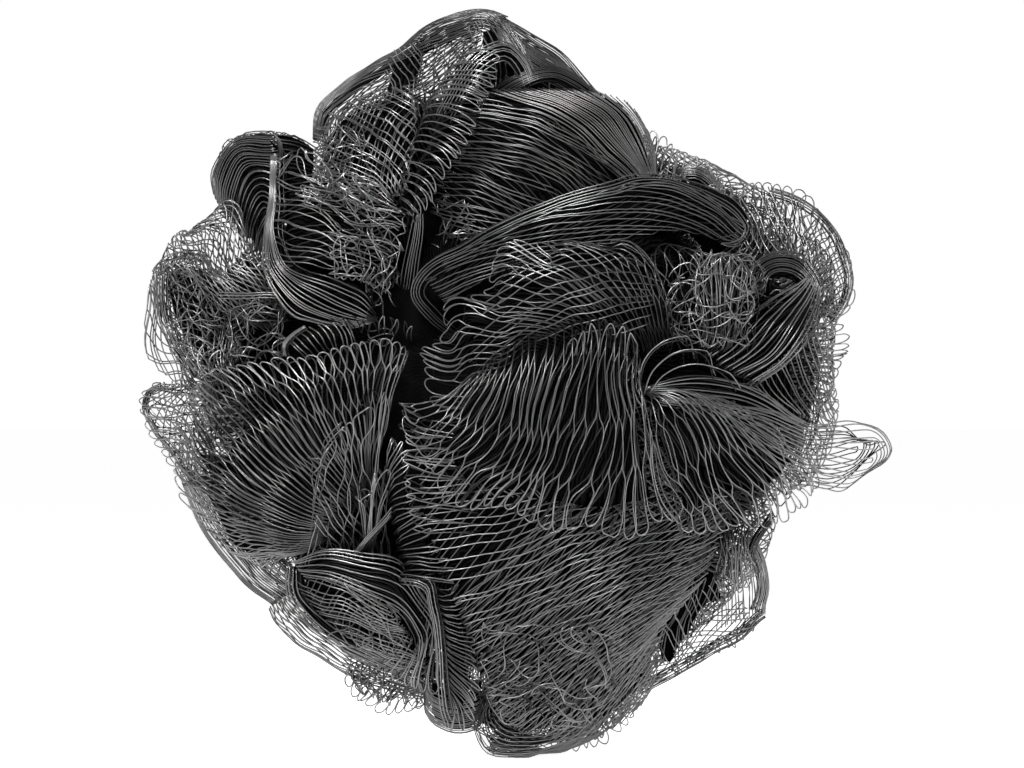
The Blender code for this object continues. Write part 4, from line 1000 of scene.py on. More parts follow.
def fold_surface(made, seed):
    """The middle surface of a sheet, rows from its seat to its rim, and its normals.

    A loft through the sections, pushed out along its normals by a crown (a half sine both
    ways), a ruffle (a sine along the rim that grows towards it), a finer frill, and noise.
    """
    u, v = np.linspace(0, 1, GRID_ACROSS), np.linspace(0, 1, GRID_ALONG)
    rows = [through(placed(section), u) for section in made.sections]
    if made.seat and made.kind in ("fold", "edge"):
        middle = rows[0].mean(axis=0)
        inward = unit(middle - MIDDLE)
        seat = MIDDLE + inward * SEAT_DEPTH * MM + (rows[0] - middle) * SEAT_SPREAD
        rows = [seat, *rows]
    surface = through(rows, v)
    normals = outward_normals(surface)
    waves = (len(made.sections[-1]) - 2) / 2
    lift = made.crown * np.outer(np.sin(math.pi * v), np.sin(math.pi * u))
    lift += made.ruffle * np.outer(v**2, np.sin(2 * math.pi * waves * u))
    frills = round(np.linalg.norm(np.diff(rows[-1], axis=0), axis=1).sum() / (FRILL_WAVE * MM))
    lift += made.frill * np.outer(v**3, np.sin(2 * math.pi * frills * u + seed))
    surface = surface + normals * (lift * MM)[..., None]
    surface += wander(surface, SHEET_WAVE * MM, seed) * made.mess * 0.7 * MM * (v**1.5)[:, None, None]
    return surface, outward_normals(surface)


def read(grid, u, v):
    """A grid's values at shares u across it and v along it, straight between its points."""
    x = np.clip(u, 0, 1) * (grid.shape[1] - 1)
    y = np.clip(v, 0, 1) * (grid.shape[0] - 1)
    i = np.minimum(x.astype(int), grid.shape[1] - 2)
    j = np.minimum(y.astype(int), grid.shape[0] - 2)
    x, y = (x - i)[..., None], (y - j)[..., None]
    low = grid[j, i] * (1 - x) + grid[j, i + 1] * x
    high = grid[j + 1, i] * (1 - x) + grid[j + 1, i + 1] * x
    return low * (1 - y) + high * y


def turned_back(u):
    """Shares turned back at 0 and at 1, and the layer that each is then on, 1 or -1."""
    turns = np.floor(u)
    odd = turns % 2 != 0
    share = u - turns
    return np.where(odd, 1 - share, share), np.where(odd, -1.0, 1.0)


def round_edge(inset, width):
    """The height of a quarter circle's edge: 0 at inset 0 and 1 from inset width on."""
    short = 1 - np.clip(inset / width, 0, 1)
    return np.sqrt(1 - short**2)


def width_and_length(surface):
    """The widest row of a surface and its middling column, in millimetres."""
    wide = np.linalg.norm(np.diff(surface, axis=1), axis=-1).sum(axis=1).max() / MM
    long = np.linalg.norm(np.diff(surface, axis=0), axis=-1).sum(axis=0).mean() / MM
    return wide, long


def turned_round(made, wide, long, rng):
    """Strands that turn at the rim: shares across and along, and their layer.

    A strand goes up, over and down as x goes from -1 to 1, with its points closest at the
    rim, by a hyperbolic sine. Its share along is a hyperbola with its tip at the rim, which
    rounds the loop. In a fold the two families drift across each other by a mesh in each
    cell, and a sine holds them together at the knots. On an edge the two legs of a loop swing
    between their neighbours, by a cosine that a hyperbolic tangent makes squarer.
    """
    count = max(int(round(wide / made.spacing)), 2)
    share = 1 / count
    s = np.linspace(-1, 1, max(int(2 * long / STRAND_STEP), 16))
    x = np.sinh(RIM_FOCUS * s) / math.sinh(RIM_FOCUS)
    family = np.repeat([1.0, -1.0], count)[:, None]
    first = np.tile((np.arange(count) + 0.5) * share, 2)[:, None]
    first = first + rng.normal(size=first.shape) * share * 0.05 * made.mess
    bend = made.arch * made.spacing / long
    flank = x / np.sqrt(x**2 + bend**2)
    v = 1 - (np.sqrt(x**2 + bend**2) - bend) / (math.sqrt(1 + bend**2) - bend)
    meshes = x * long / made.cell
    if made.kind == "edge":
        hold = 1 + 2 * made.wave
        zigzag = np.tanh(hold * np.cos(math.pi * (np.abs(meshes) + 0.45))) / math.tanh(hold)
        u = first + flank * share / 4 * (1 - zigzag) + share / 4 * (family - 1)
        slant = made.lean * family + made.cross * (family < 0)
        u = turned_back(u + slant * np.abs(x))[0]
        return u, v + 0 * u, family + 0 * u
    drift = share * (meshes - made.wave * np.sin(4 * math.pi * meshes) / (4 * math.pi))
    u = first + family * (drift + made.arch * share * flank) + made.lean * x
    u, layer = turned_back(u)
    return u, v + 0 * u, layer * np.where(x < 0, 1.0, -1.0)


def nested(made, wide, long, rng):
    """Strands that turn back round each other, the outer ones farther on.

    Half ellipses round a point short of the last section, then straight back to the first
    one on either side, with a sine that makes the two families cross.
    """
    count = max(int(round(wide / made.spacing / 2)), 2)
    family = np.repeat([1.0, -1.0], count)[:, None]
    reach = np.tile((np.arange(count) + 0.5) / (2 * count), 2)[:, None]
    reach = reach + rng.normal(size=reach.shape) * 0.1 * made.mess / count
    cap = 0.45 * wide / long
    turn = 1.5 * cap
    x = np.linspace(-1, 1, max(int(2 * long / STRAND_STEP), 16))
    angle = np.clip(x / turn, -1, 1) * math.pi / 2
    drift = made.lean * family * np.sin(2 * math.pi * np.abs(x) * long / made.cell)
    u = 0.5 + reach * np.sin(angle) + drift
    straight = (1 - cap) * (1 - (np.abs(x) - turn) / (1 - turn))
    v = np.where(np.abs(x) < turn, 1 - cap + 2 * cap * reach * np.cos(angle), straight)
    u, layer = turned_back(u)
    return u, v, layer * family


def running(made, wide, long, rng):
    """Strands that run straight along, in two families that drift across each other.

    The drift is a mesh in each cell, and a sine holds the strands together at the knots.
    """
    count = max(int(round(wide / made.spacing)), 2)
    share = 1 / count
    family = np.repeat([1.0, -1.0], count)[:, None]
    first = np.tile((np.arange(count) + 0.5) * share, 2)[:, None]
    first = first + rng.normal(size=first.shape) * share * 0.15 * made.mess
    x = np.linspace(0, 1, max(int(long / STRAND_STEP), 10))
    meshes = x * long / made.cell
    drift = share * (meshes - made.wave * np.sin(4 * math.pi * meshes) / (4 * math.pi))
    u, layer = turned_back(first + family * drift + made.lean * (x - 0.5))
    return u, x + 0 * u, layer * family


def tangled(made, wide, long, rng):
    """Strands that curl about: the heading turns at a rate that itself wanders.

    The rate is a constant and two sines, the heading is its sum, and the place is the sum
    of the heading's cosine and sine.
    """
    count = max(int(round(1.5 * wide * long / made.spacing**2 / 12)), 3)
    t = TANGLE_STEP * np.arange(TANGLE_POINTS)
    rate = rng.normal(size=(count, 1)) * 0.12
    for wavelength in (9, 17):
        size = rng.uniform(0.1, 0.4, (count, 1))
        rate = rate + size * np.sin(2 * math.pi * t / wavelength + rng.uniform(0, 6.3, (count, 1)))
    heading = rng.uniform(0, 2 * math.pi, (count, 1)) + np.cumsum(rate * TANGLE_STEP, axis=1)
    u = rng.uniform(0, 1, (count, 1)) + np.cumsum(np.cos(heading), axis=1) * TANGLE_STEP / wide
    v = rng.uniform(0, 1, (count, 1)) + np.cumsum(np.sin(heading), axis=1) * TANGLE_STEP / long
    layer = np.sin(2 * math.pi * t / 21 + rng.uniform(0, 6.3, (count, 1)))
    return turned_back(u)[0], turned_back(v)[0], layer


WAYS = {
    "fold": turned_round, "edge": turned_round, "nest": nested, "run": running,
    "tangle": tangled,
}


def strand_paths(made, surface, normals, seed):
    """Points and normals of a sheet's strands, as arrays of (strand, point, 3), and the painted
    shade on each point: 0 on its outer layer at the rim, 1 within and at the root.

    Each strand sways by a sine, and four sines across bunch them up. They lie on either
    side of the surface at half its thickness, which rounds off at the sides and the rim.
    """
    rng = np.random.default_rng(seed)
    wide, long = width_and_length(surface)
    start = made.start if made.kind in ("fold", "edge") else 0
    u, v, side = WAYS[made.kind](made, wide, long * (1 - start), rng)
    if made.kind != "tangle":
        phase, size = rng.uniform(0, 6.3, (len(u), 1)), rng.uniform(0.2, 1, (len(u), 1))
        u = u + made.sway * size * made.spacing / wide * np.sin(v * long / SWAY_RADIAN + phase)
        v = v * (1 + rng.normal(size=(len(u), 1)) * 0.006 * made.mess)
        for waves, pull in zip((1, 2, 3, 5), rng.normal(size=4)):
            pull = np.clip(made.bunch * pull, -0.8, 0.8) / (4 * math.pi * waves)
            u = u + pull * np.sin(2 * math.pi * waves * u) * np.cos(math.pi * v * waves / 2)
    u, v = np.clip(u, 0, 1), np.clip(v, 0, 1)
    depth = made.full * round_edge(1 - np.abs(2 * u - 1), 4 * made.full / wide)
    if made.kind in ("fold", "edge"):
        depth = depth * (0.35 + 0.65 * v)
    if made.kind in ("fold", "nest"):
        depth = depth * round_edge(1 - v, 1.6 * made.full / long)
    # Painted shade: the inner layer, and with dull all strands, are drawn darker and duller for the
    # shade within the fold.
    painted_shade = made.dull + made.shade * (1 - side * np.minimum(depth / made.full, 1)) / 2
    if made.kind in ("fold", "edge"):
        # More painted shade towards the root, where the fold sinks between its neighbours.
        painted_shade = painted_shade + made.root * (1 - v) ** 1.5
    v = start + (1 - start) * v
    points = read(surface, u, v)
    ways = unit(read(normals, u, v))
    points = points + ways * (side * depth * MM)[..., None]
    points += wander(points, STRAND_WAVE * MM, seed + 1) * 0.12 * made.mess * MM
    points[..., 2] = np.maximum(points[..., 2], made.strand * MM / 2)
    return points, ways, np.clip(painted_shade, 0, 1)


def tubes(points, normals, diameter):
    """Vertices and faces of closed tubes along (strand, point) paths.

    Each ring is a regular polygon round its path point, square to the path, and its
    first corner lies on the surface's normal.
    """
    strands, steps = points.shape[:2]
    tangent = unit(np.gradient(points, axis=1))
    across = unit(np.cross(tangent, normals))
    up = np.cross(across, tangent)
    turn = 2 * math.pi * np.arange(STRAND_SIDES) / STRAND_SIDES + math.pi / 2
    ring = across[..., None, :] * np.cos(turn)[:, None] + up[..., None, :] * np.sin(turn)[:, None]
    verts = points[..., None, :] + ring * diameter / 2
    index = np.arange(strands * steps * STRAND_SIDES).reshape(strands, steps, -1)
    here, there = index[:, :-1], index[:, 1:]
    after, far = np.roll(here, -1, axis=2), np.roll(there, -1, axis=2)
    quads = np.stack([here, after, far, there], axis=-1).reshape(-1, 4)
    caps = np.concatenate([index[:, 0, ::-1], index[:, -1]])
    return verts.reshape(-1, 3), quads, caps


def lining(made, surface, normals):
    """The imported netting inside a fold, as a thin closed lens along its middle surface.

    A grid on either side of the surface, whose two layers meet along all four edges.
    """
    across, along = LINING_ACROSS, LINING_ALONG
    u = np.linspace(*made.lined, across)[None, :]
    low, high = (0.02, 0.98) if made.kind in ("run", "nest") else (0, made.packed)
    v = np.linspace(low, high, along)[:, None]
    edge = 1 - 0.10 * np.sin(math.pi * 9 * u) ** 2 * made.mess * (high < 0.9)
    u, v = np.broadcast_arrays(u, v * edge)
    middle, way = read(surface, u, v), unit(read(normals, u, v))
    # The lens sits behind the strands and shows between them near-black: partly the packed netting,
    # partly painted shade among it.
    middle = middle - way * (made.full + 0.6) * made.behind * MM
    body = np.outer(
        np.sqrt(np.clip(np.sin(np.linspace(0, math.pi, along)), 0, 1)),
        np.sqrt(np.clip(np.sin(np.linspace(0, math.pi, across)), 0, 1)),
    )
    offset = way * (LINING_HALF * MM * body)[..., None]
    lowest = 0.3 * MM - middle[..., 2] + np.abs(offset[..., 2])
    middle = middle + np.maximum(lowest, 0)[..., None] * (0, 0, 1)
    front = np.arange(along * across).reshape(along, across)
    back = front + along * across
    back[0], back[-1], back[:, 0], back[:, -1] = front[0], front[-1], front[:, 0], front[:, -1]
    faces = []
    for layer, flip in ((front, False), (back, True)):
        quad = np.stack([layer[:-1, :-1], layer[:-1, 1:], layer[1:, 1:], layer[1:, :-1]], axis=-1)
        faces.append(quad.reshape(-1, 4)[:, ::-1] if flip else quad.reshape(-1, 4))
    verts = np.concatenate([(middle + offset).reshape(-1, 3), (middle - offset).reshape(-1, 3)])
    rim = np.linalg.norm(np.diff(surface[-1], axis=0), axis=1).sum() / MM
    grain = np.tile((u * rim).ravel(), 2)
    return verts, np.concatenate(faces), np.stack([grain, np.ones_like(grain)], axis=-1)


def add_mesh(name, parts, materials):
    """A smooth mesh object from parts, each (points, quads, triangles, values, material).

    The values go into the attributes grain and painted_shade. Vertices that no face uses are dropped.
    """
    verts = np.concatenate([part[0] for part in parts])
    values = np.concatenate([part[3] for part in parts])
    first = np.cumsum([0] + [len(part[0]) for part in parts])
    quads = np.concatenate([part[1] + at for part, at in zip(parts, first)])
    triangles = np.concatenate([part[2] + at for part, at in zip(parts, first)])
    slots = np.concatenate(
        [np.full(len(part[1]), part[4]) for part in parts]
        + [np.full(len(part[2]), part[4]) for part in parts]
    )
    used = np.zeros(len(verts), bool)
    used[quads] = True
    used[triangles] = True
    place = np.cumsum(used) - 1
    verts, values = verts[used], values[used]
    quads, triangles = place[quads], place[triangles]
    mesh = bpy.data.meshes.new(name)
    mesh.vertices.add(len(verts))
    mesh.vertices.foreach_set("co", verts.astype(np.float32).ravel())
    loops = np.concatenate([quads.ravel(), triangles.ravel()]).astype(np.int32)
    starts = np.concatenate(
        [np.arange(len(quads)) * 4, len(quads) * 4 + np.arange(len(triangles)) * 3]
    ).astype(np.int32)
    mesh.loops.add(len(loops))
    mesh.loops.foreach_set("vertex_index", loops)
    mesh.polygons.add(len(starts))
    mesh.polygons.foreach_set("loop_start", starts)
    mesh.polygons.foreach_set("material_index", slots.astype(np.int32))
    mesh.update(calc_edges=True)
    for kind, column in zip(("grain", "painted_shade"), values.T):
        attribute = mesh.attributes.new(kind, "FLOAT", "POINT")
        attribute.data.foreach_set("value", np.ascontiguousarray(column, np.float32))
    mesh.shade_smooth()
    for material in materials:
        mesh.materials.append(material)
    obj = bpy.data.objects.new(name, mesh)
    bpy.context.scene.collection.objects.link(obj)
    return obj


def sheet_parts(made, seed):
    """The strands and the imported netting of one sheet, and the length of its strands."""
    surface, normals = fold_surface(made, seed)
    points, ways, painted_shade = strand_paths(made, surface, normals, seed)
    verts, quads, caps = tubes(points, ways, made.strand * MM)
    tint = np.repeat(np.random.default_rng(seed).random(len(points)), len(verts) // len(points))
    painted_shade = np.repeat(painted_shade.ravel(), len(verts) // painted_shade.size)
    parts = [(verts, quads, caps, np.stack([tint, painted_shade], axis=-1), 0)]
    if made.packed > 0:
        inner, inner_quads, grain = lining(made, surface, normals)
        corner = inner[inner_quads[0]]
        if np.cross(corner[1] - corner[0], corner[2] - corner[0]) @ normals[0, 0] < 0:
            inner_quads = inner_quads[:, ::-1]
        parts.append((inner, inner_quads, NO_FACES, grain, 1))
    return parts, np.linalg.norm(np.diff(points, axis=1), axis=-1).sum(axis=1)


def netting_piece(name, sheets, seed):
    """One fold of netting, in one or more sheets, which stands for its CAD node.

    The lengths of its strands are gathered, but nothing uses them.
    """
    parts, lengths = [], []
    for index, made in enumerate(sheets):
        found, long = sheet_parts(made, seed + 3 * index)
        parts += found
        lengths.append(long)
    obj = add_mesh(
        name + "_netting", parts,
        [finish("strands", strand_material), finish("packed_netting_shade", packed_shade_material)],
    )
    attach(obj, "root")
    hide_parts(name)
    return obj


def girth_at(angle):
    """How far the ball reaches sideways at angles from +X towards +Z, in millimetres."""
    share = np.asarray(angle) * len(GIRTH) / (2 * math.pi) % len(GIRTH)
    before = share.astype(int)
    blend = (1 - np.cos(math.pi * (share - before))) / 2
    girth = np.array(GIRTH)
    return girth[before] * (1 - blend) + girth[(before + 1) % len(GIRTH)] * blend


def back_point(polar, angle, rise):
    """A drawn point on the back of the ball, by its angle from the back eye."""
    reach = float(girth_at(angle)) * rise * math.sin(polar)
    shift = HALF_WIDTH * math.sin(BACK_SHIFT) * math.cos(polar)
    return (
        MIDDLE_DRAWN[0] + (reach * math.cos(angle) + shift) * MM / STEP,
        MIDDLE_DRAWN[1] - reach * math.sin(angle) * MM / STEP,
        -HALF_DEPTH * rise * math.cos(polar),
    )


def body_sheet(name):
    """The sheet that fills a fold whose own sheets lie on its front only.

    Under an outer fold it is drawn in towards the middle and is more open, so that light
    still shows through the netting.
    """
    middle = np.array(MIDDLE_DRAWN)
    reach, spacing, packed = 1, 2.8, 0.85
    if name in OUTER_FOLDS:
        reach, spacing, packed = OUTER_REACH, 3.2, 0.5
    rows = [
        [tuple(middle + reach * (np.array(point) - middle)) for point in row]
        for row in BODIES[name]
    ]
    # dull gives the filling sheet painted shade, as it lies under the fold's own sheets.
    return fold(rows, spacing=spacing, full=1.2, dull=0.3, strand=0.26, mess=1.2, packed=packed)


def back_sheet(start, centre, reach, width, rise):
    """A second sheet of a back fold, darker and duller by painted shade, which fills the space
    between the rims.

    Seven points across each of its two rows, which go out and back by 12% in turn.
    """
    turns = centre + width * np.linspace(-0.5, 0.5, 7)
    waves = reach * (1 - 0.12 * (-1.0) ** np.arange(7))
    rows = [
        [back_point(start + wave * share, turn, rise * high) for wave, turn in zip(waves, turns)]
        for share, high in ((0.4, 0.8), (1, 1))
    ]
    return fold(rows, ruffle=1.6, spacing=3.2, mess=1.6, strand=0.28, dull=0.25, full=1.4)


def back_folds():
    """The folds of the back, ring by ring: rims bow to the back eye and lie over the next."""
    found = {}
    for ring, (count, gathered, rim) in enumerate(BACK_RINGS):
        share = 2 * math.pi / count
        for index in range(count):
            sway = BACK_SWAY * math.sin(len(found))
            centre = share * (index + ring / 2) + sway
            start = math.radians(gathered)
            reach = start - math.radians(rim) - sway
            across = share * BACK_GATHERED_WIDTH * np.linspace(-0.5, 0.5, 3)
            low = [back_point(start, centre + turn, BACK_GATHERED_RISE) for turn in across]
            high = []
            for side in np.linspace(-0.5, 0.5, 5):
                bow = 1 - BACK_RIM_BOW * (1 - math.cos(math.pi * side))
                turn = share * BACK_RIM_WIDTH * side
                high.append(back_point(start - reach * bow, centre + turn, BACK_RIM_RISE))
            name = f"back_fold_{len(found) + 1:02d}"
            found[name] = [
                fold([low, high], crown=4, ruffle=1.6, spacing=2.4, mess=1.4, strand=0.3),
                back_sheet(start, centre, -BACK_SECOND_REACH * reach,
                           share * BACK_SECOND_WIDTH, BACK_SECOND_RISE),
            ]
            if ring == len(BACK_RINGS) - 1:
                found[name] += [
                    back_sheet(start, centre, past, share * WAIST_SHEET_WIDTH, rise)
                    for past, rise in WAIST_SHEETS
                ]
    return found


class Value:
    """A number that varies over a surface, on which Python's operators add Math nodes."""

    def __init__(self, nodes, socket):
        self.nodes, self.socket = nodes, socket

    def maths(self, operation, *values):
        """A Math node on these values."""
        return self.nodes.add("ShaderNodeMath", {"operation": operation}, values)

    def __add__(self, other):
        return self.maths("ADD", self, other)

    __radd__ = __add__

    def __mul__(self, other):
        return self.maths("MULTIPLY", self, other)

    __rmul__ = __mul__

    def __sub__(self, other):
        return self.maths("SUBTRACT", self, other)

    def __rsub__(self, other):
        return self.maths("SUBTRACT", other, self)

    def __pow__(self, other):
        return self.maths("POWER", self, other)


class Nodes:
    """The nodes of one material or world."""

    def __init__(self, tree):
        self.tree = tree
        tree.nodes.clear()

    def add(self, kind, settings=None, inputs=(), output=0):
        """A node of that kind, its settings made first, then its inputs set or linked."""
        node = self.tree.nodes.new(kind)
        for name, value in (settings or {}).items():
            setattr(node, name, value)
        pairs = inputs.items() if isinstance(inputs, dict) else enumerate(inputs)
        for key, value in pairs:
            if isinstance(value, Value):
                self.tree.links.new(value.socket, node.inputs[key])
            else:
                node.inputs[key].default_value = value
        return Value(self, node.outputs[output]) if node.outputs else node

    def between(self, factor, low, high):
        """A colour between two others: a Mix node, whose colours are its sockets 6 and 7."""
        inputs = {"Factor": factor, 6: (*low, 1), 7: (*high, 1)}
        return self.add("ShaderNodeMix", {"data_type": "RGBA"}, inputs, output=2)


def new_material(name):
    """An empty material and its nodes."""
    material = bpy.data.materials.new(name)
    material.use_nodes = True
    return material, Nodes(material.node_tree)


def strand_material(name):
    """Glossy black plastic strand, uneven in tone from strand to strand, with painted shade mixed in.
    """
    settings = bpy.context.scene.sponge
    material, nodes = new_material(name)
    place = nodes.add("ShaderNodeTexCoord", output="Object")
    tint = nodes.add("ShaderNodeAttribute", {"attribute_name": "grain"}, output="Fac")
    patch = nodes.add("ShaderNodeTexNoise", {}, {"Vector": place, "Scale": 90.0, "Detail": 2.0})
    fine = nodes.add("ShaderNodeTexNoise", {}, {"Vector": place, "Scale": 2600.0, "Detail": 2.0})
    tone = 0.35 + tint * 0.35 + patch * 0.5
    colour = nodes.between(tone, (0.002, 0.002, 0.002), settings.netting_colour)
    shader = nodes.add(
        "ShaderNodeBsdfPrincipled", {},
        {
            "Base Color": colour,
            "Roughness": settings.netting_roughness + 0.12 * fine,
            "IOR": 2.1,
            "Specular IOR Level": 1.0,
        },
    )
    # Painted shade: a near-black, dull copy of the strand, for strands that lie in shade within the
    # folds.
    within = nodes.add(
        "ShaderNodeBsdfPrincipled", {},
        {"Base Color": (0.002, 0.002, 0.002, 1), "Roughness": 0.5, "Specular IOR Level": 0.1},
    )
    painted_shade = nodes.add("ShaderNodeAttribute", {"attribute_name": "painted_shade"}, output="Fac")
    both = nodes.add("ShaderNodeMixShader", {}, (1 - (1 - painted_shade) ** 1.3, shader, within))
    nodes.add("ShaderNodeOutputMaterial", {}, {"Surface": both})
    return material


def packed_shade_material(name):
    """Packed netting as a near-black sheet in fine dark lines, its darkness painted shade."""
    material, nodes = new_material(name)
    place = nodes.add("ShaderNodeTexCoord", output="Object")
    across = nodes.add("ShaderNodeAttribute", {"attribute_name": "grain"}, output="Fac")
    patch = nodes.add("ShaderNodeTexNoise", {}, {"Vector": place, "Scale": 300.0, "Detail": 3.0})
    lines = across.maths("SINE", (across + patch * 3) * 7) * 0.5 + 0.5
    # Painted shade: the colour stays far below the strands' own black, for the shade among the packed
    # layers.
    colour = nodes.between(lines * patch, (0.0004, 0.0004, 0.0004), (0.013, 0.013, 0.013))
    bump = nodes.add("ShaderNodeBump", {}, {"Strength": 0.5, "Distance": 0.0003, "Height": lines})
    shader = nodes.add(
        "ShaderNodeBsdfPrincipled", {},
        {"Base Color": colour, "Roughness": 0.8, "Specular IOR Level": 0.0, "IOR": 1.01,
         "Normal": bump},
    )
    nodes.add("ShaderNodeOutputMaterial", {}, {"Surface": shader})
    return material


def finish(name, make):
    """The material of that name, made the first time that it is asked for."""
    return bpy.data.materials.get(name) or make(name)


def cord_material(name):
    """Twisted black cord: fine slanting plies in the bump, and dull fibres."""
    settings = bpy.context.scene.sponge
    material, nodes = new_material(name)
    place = nodes.add("ShaderNodeTexCoord", output="Object")
    plies = nodes.add(
        "ShaderNodeTexWave", {"bands_direction": "DIAGONAL"},
        {"Vector": place, "Scale": 900.0, "Distortion": 1.0, "Detail": 2.0}, output=1,
    )
    bump = nodes.add("ShaderNodeBump", {}, {"Strength": 0.6, "Distance": 0.0002, "Height": plies})
    colour = nodes.between(plies, (0.006, 0.006, 0.006), settings.cord_colour)
    shader = nodes.add(
        "ShaderNodeBsdfPrincipled", {},
        {"Base Color": colour, "Roughness": 0.7 + 0.2 * plies, "Normal": bump},
    )
    nodes.add("ShaderNodeOutputMaterial", {}, {"Surface": shader})
    return material


def rays(nodes):
    """Whether a ray comes from the camera, and whether from a mirror or through glass."""
    camera, glossy, glass = [
        nodes.add("ShaderNodeLightPath", output=f"Is {kind} Ray")
        for kind in ("Camera", "Glossy", "Transmission")
    ]
    return camera, camera.maths("MAXIMUM", glossy, glass)


def floor_material(name):
    """Pale floor, which the camera, mirrors and glass see a little brighter."""
    settings = bpy.context.scene.sponge_stage
    material, nodes = new_material(name)
    camera, mirrored = rays(nodes)
    dull = nodes.add("ShaderNodeBsdfDiffuse", {}, {"Color": (*settings.floor_colour, 1)})
    seen = camera.maths("MAXIMUM", camera, mirrored)
    white = nodes.between(seen, (0, 0, 0), [settings.floor_glow] * 3)
    glow = nodes.add("ShaderNodeEmission", {}, {"Color": white, "Strength": 1.0})
    both = nodes.add("ShaderNodeAddShader", {}, (dull, glow))
    nodes.add("ShaderNodeOutputMaterial", {}, {"Surface": both})
    return material


def white_world():
    """A white backdrop behind the ball and a dim room before it; the camera sees white."""
    world = bpy.data.worlds.new("white_surround")
    bpy.context.scene.world = world
    world.use_nodes = True
    nodes = Nodes(world.node_tree)
    camera, mirrored = rays(nodes)
    toward = nodes.add("ShaderNodeTexCoord", output="Generated")
    backward = nodes.add("ShaderNodeSeparateXYZ", {}, {"Vector": toward}, output="Y")
    backdrop = nodes.add(
        "ShaderNodeMapRange", {"interpolation_type": "SMOOTHSTEP"},
        {"Value": backward, "From Min": -0.3, "From Max": 0.3},
    )
    seen = camera.maths("MAXIMUM", camera, backdrop * mirrored)
    dim = nodes.add("ShaderNodeBackground", {}, {"Color": (1, 1, 1, 1), "Strength": 0.02})
    white = nodes.add("ShaderNodeBackground", {}, {"Color": (1, 1, 1, 1), "Strength": 1.0})
    surround = nodes.add("ShaderNodeMixShader", {}, (seen, dim, white))
    nodes.add("ShaderNodeOutputWorld", {}, {"Surface": surround})


# The lamps: place, watts and width.
LAMPS = {
    "key_lamp": ((-0.3, -0.8, 0.95), 20, 0.3),
    "fill_lamp": ((0.7, -1.0, 0.35), 3, 0.3),
    "front_lamp": ((-0.15, -1.3, 0.38), 3, 0.25),
    "back_lamp": ((0.2, 0.9, 0.8), 2, 0.4),
}


def soft_lamp(name, place, power, size):
    """A square area lamp that faces the ball's middle."""
    light = bpy.data.lights.new(name, "AREA")
    light.energy, light.size = power, size
    lamp = bpy.data.objects.new(name, light)
    bpy.context.scene.collection.objects.link(lamp)
    lamp.location = place
    lamp.rotation_euler = (Vector(place) - Vector(MIDDLE)).to_track_quat("Z", "Y").to_euler()


class SpongeSettings(bpy.types.PropertyGroup):
    """What a user would change on the sponge."""

    netting_colour: bpy.props.FloatVectorProperty(
        name="Netting", description="Colour of the plastic netting", subtype="COLOR",
        default=(0.022, 0.022, 0.0227), min=0, max=1,
    )
    netting_roughness: bpy.props.FloatProperty(
        name="Netting roughness", description="How dull the strands are", subtype="FACTOR",
        default=0.25, min=0, max=1,
    )
    cord_colour: bpy.props.FloatVectorProperty(
        name="Cord", description="Colour of the binding cord", subtype="COLOR",
        default=(0.02, 0.02, 0.022), min=0, max=1,
    )


class StageSettings(bpy.types.PropertyGroup):
    """What a user would change on the stage."""

    floor_colour: bpy.props.FloatVectorProperty(
        name="Floor", description="Colour of the floor", subtype="COLOR",
        default=(0.8, 0.8, 0.8), min=0, max=1,
    )
    floor_glow: bpy.props.FloatProperty(
        name="Floor glow", description="White that the camera sees besides the lit floor",
        subtype="FACTOR", default=0.97, min=0, max=1,
    )
    lens: bpy.props.FloatProperty(
        name="Lens", description="Focal length in millimetres", default=400, min=50, max=1000,
    )
    view_width: bpy.props.FloatProperty(
        name="View width", description="What the picture's width takes in at the middle",
        subtype="DISTANCE", default=0.1932, min=0.05, max=2,
    )


def make_folds(folds, first_seed):
    """Makes a group of folds, each with its own seed."""
    for index, (name, sheets) in enumerate(folds.items()):
        if not isinstance(sheets, list):
            sheets = [sheets]
        if name in BODIES:
            sheets = [*sheets, body_sheet(name)]
        netting_piece(name, sheets, first_seed + 10 * index)


class SPONGE_OT_front_folds(bpy.types.Operator):
    """The shells, ruffle and spike at the front, beside the eye"""

    bl_idname = "sponge.front_folds"
    bl_label = "Front folds"

    def execute(self, context):
        make_folds(FRONT_MIDDLE, 1000)
        return {"FINISHED"}


class SPONGE_OT_upper_folds(bpy.types.Operator):
    """The long fold, the fan and the tents above the eye"""

    bl_idname = "sponge.upper_folds"
    bl_label = "Upper folds"

    def execute(self, context):
        make_folds(UPPER, 2000)
        return {"FINISHED"}


class SPONGE_OT_left_folds(bpy.types.Operator):
    """The fan, knob, rolls and veils on the left"""

    bl_idname = "sponge.left_folds"
    bl_label = "Left folds"

    def execute(self, context):
        make_folds(LEFT, 3000)
        return {"FINISHED"}


class SPONGE_OT_lower_folds(bpy.types.Operator):
    """The pocket, the veils and the roll that the sponge lies on"""

    bl_idname = "sponge.lower_folds"
    bl_label = "Lower folds"

    def execute(self, context):
        make_folds(LOWER, 4000)
        return {"FINISHED"}


class SPONGE_OT_right_folds(bpy.types.Operator):
    """The roll, the mesh and the veils on the right"""

    bl_idname = "sponge.right_folds"
    bl_label = "Right folds"

    def execute(self, context):
        make_folds(RIGHT, 5000)
        return {"FINISHED"}


class SPONGE_OT_back_folds(bpy.types.Operator):
    """The rings of folds round the back eye"""

    bl_idname = "sponge.back_folds"
    bl_label = "Back folds"

    def execute(self, context):
        make_folds(back_folds(), 6000)
        return {"FINISHED"}


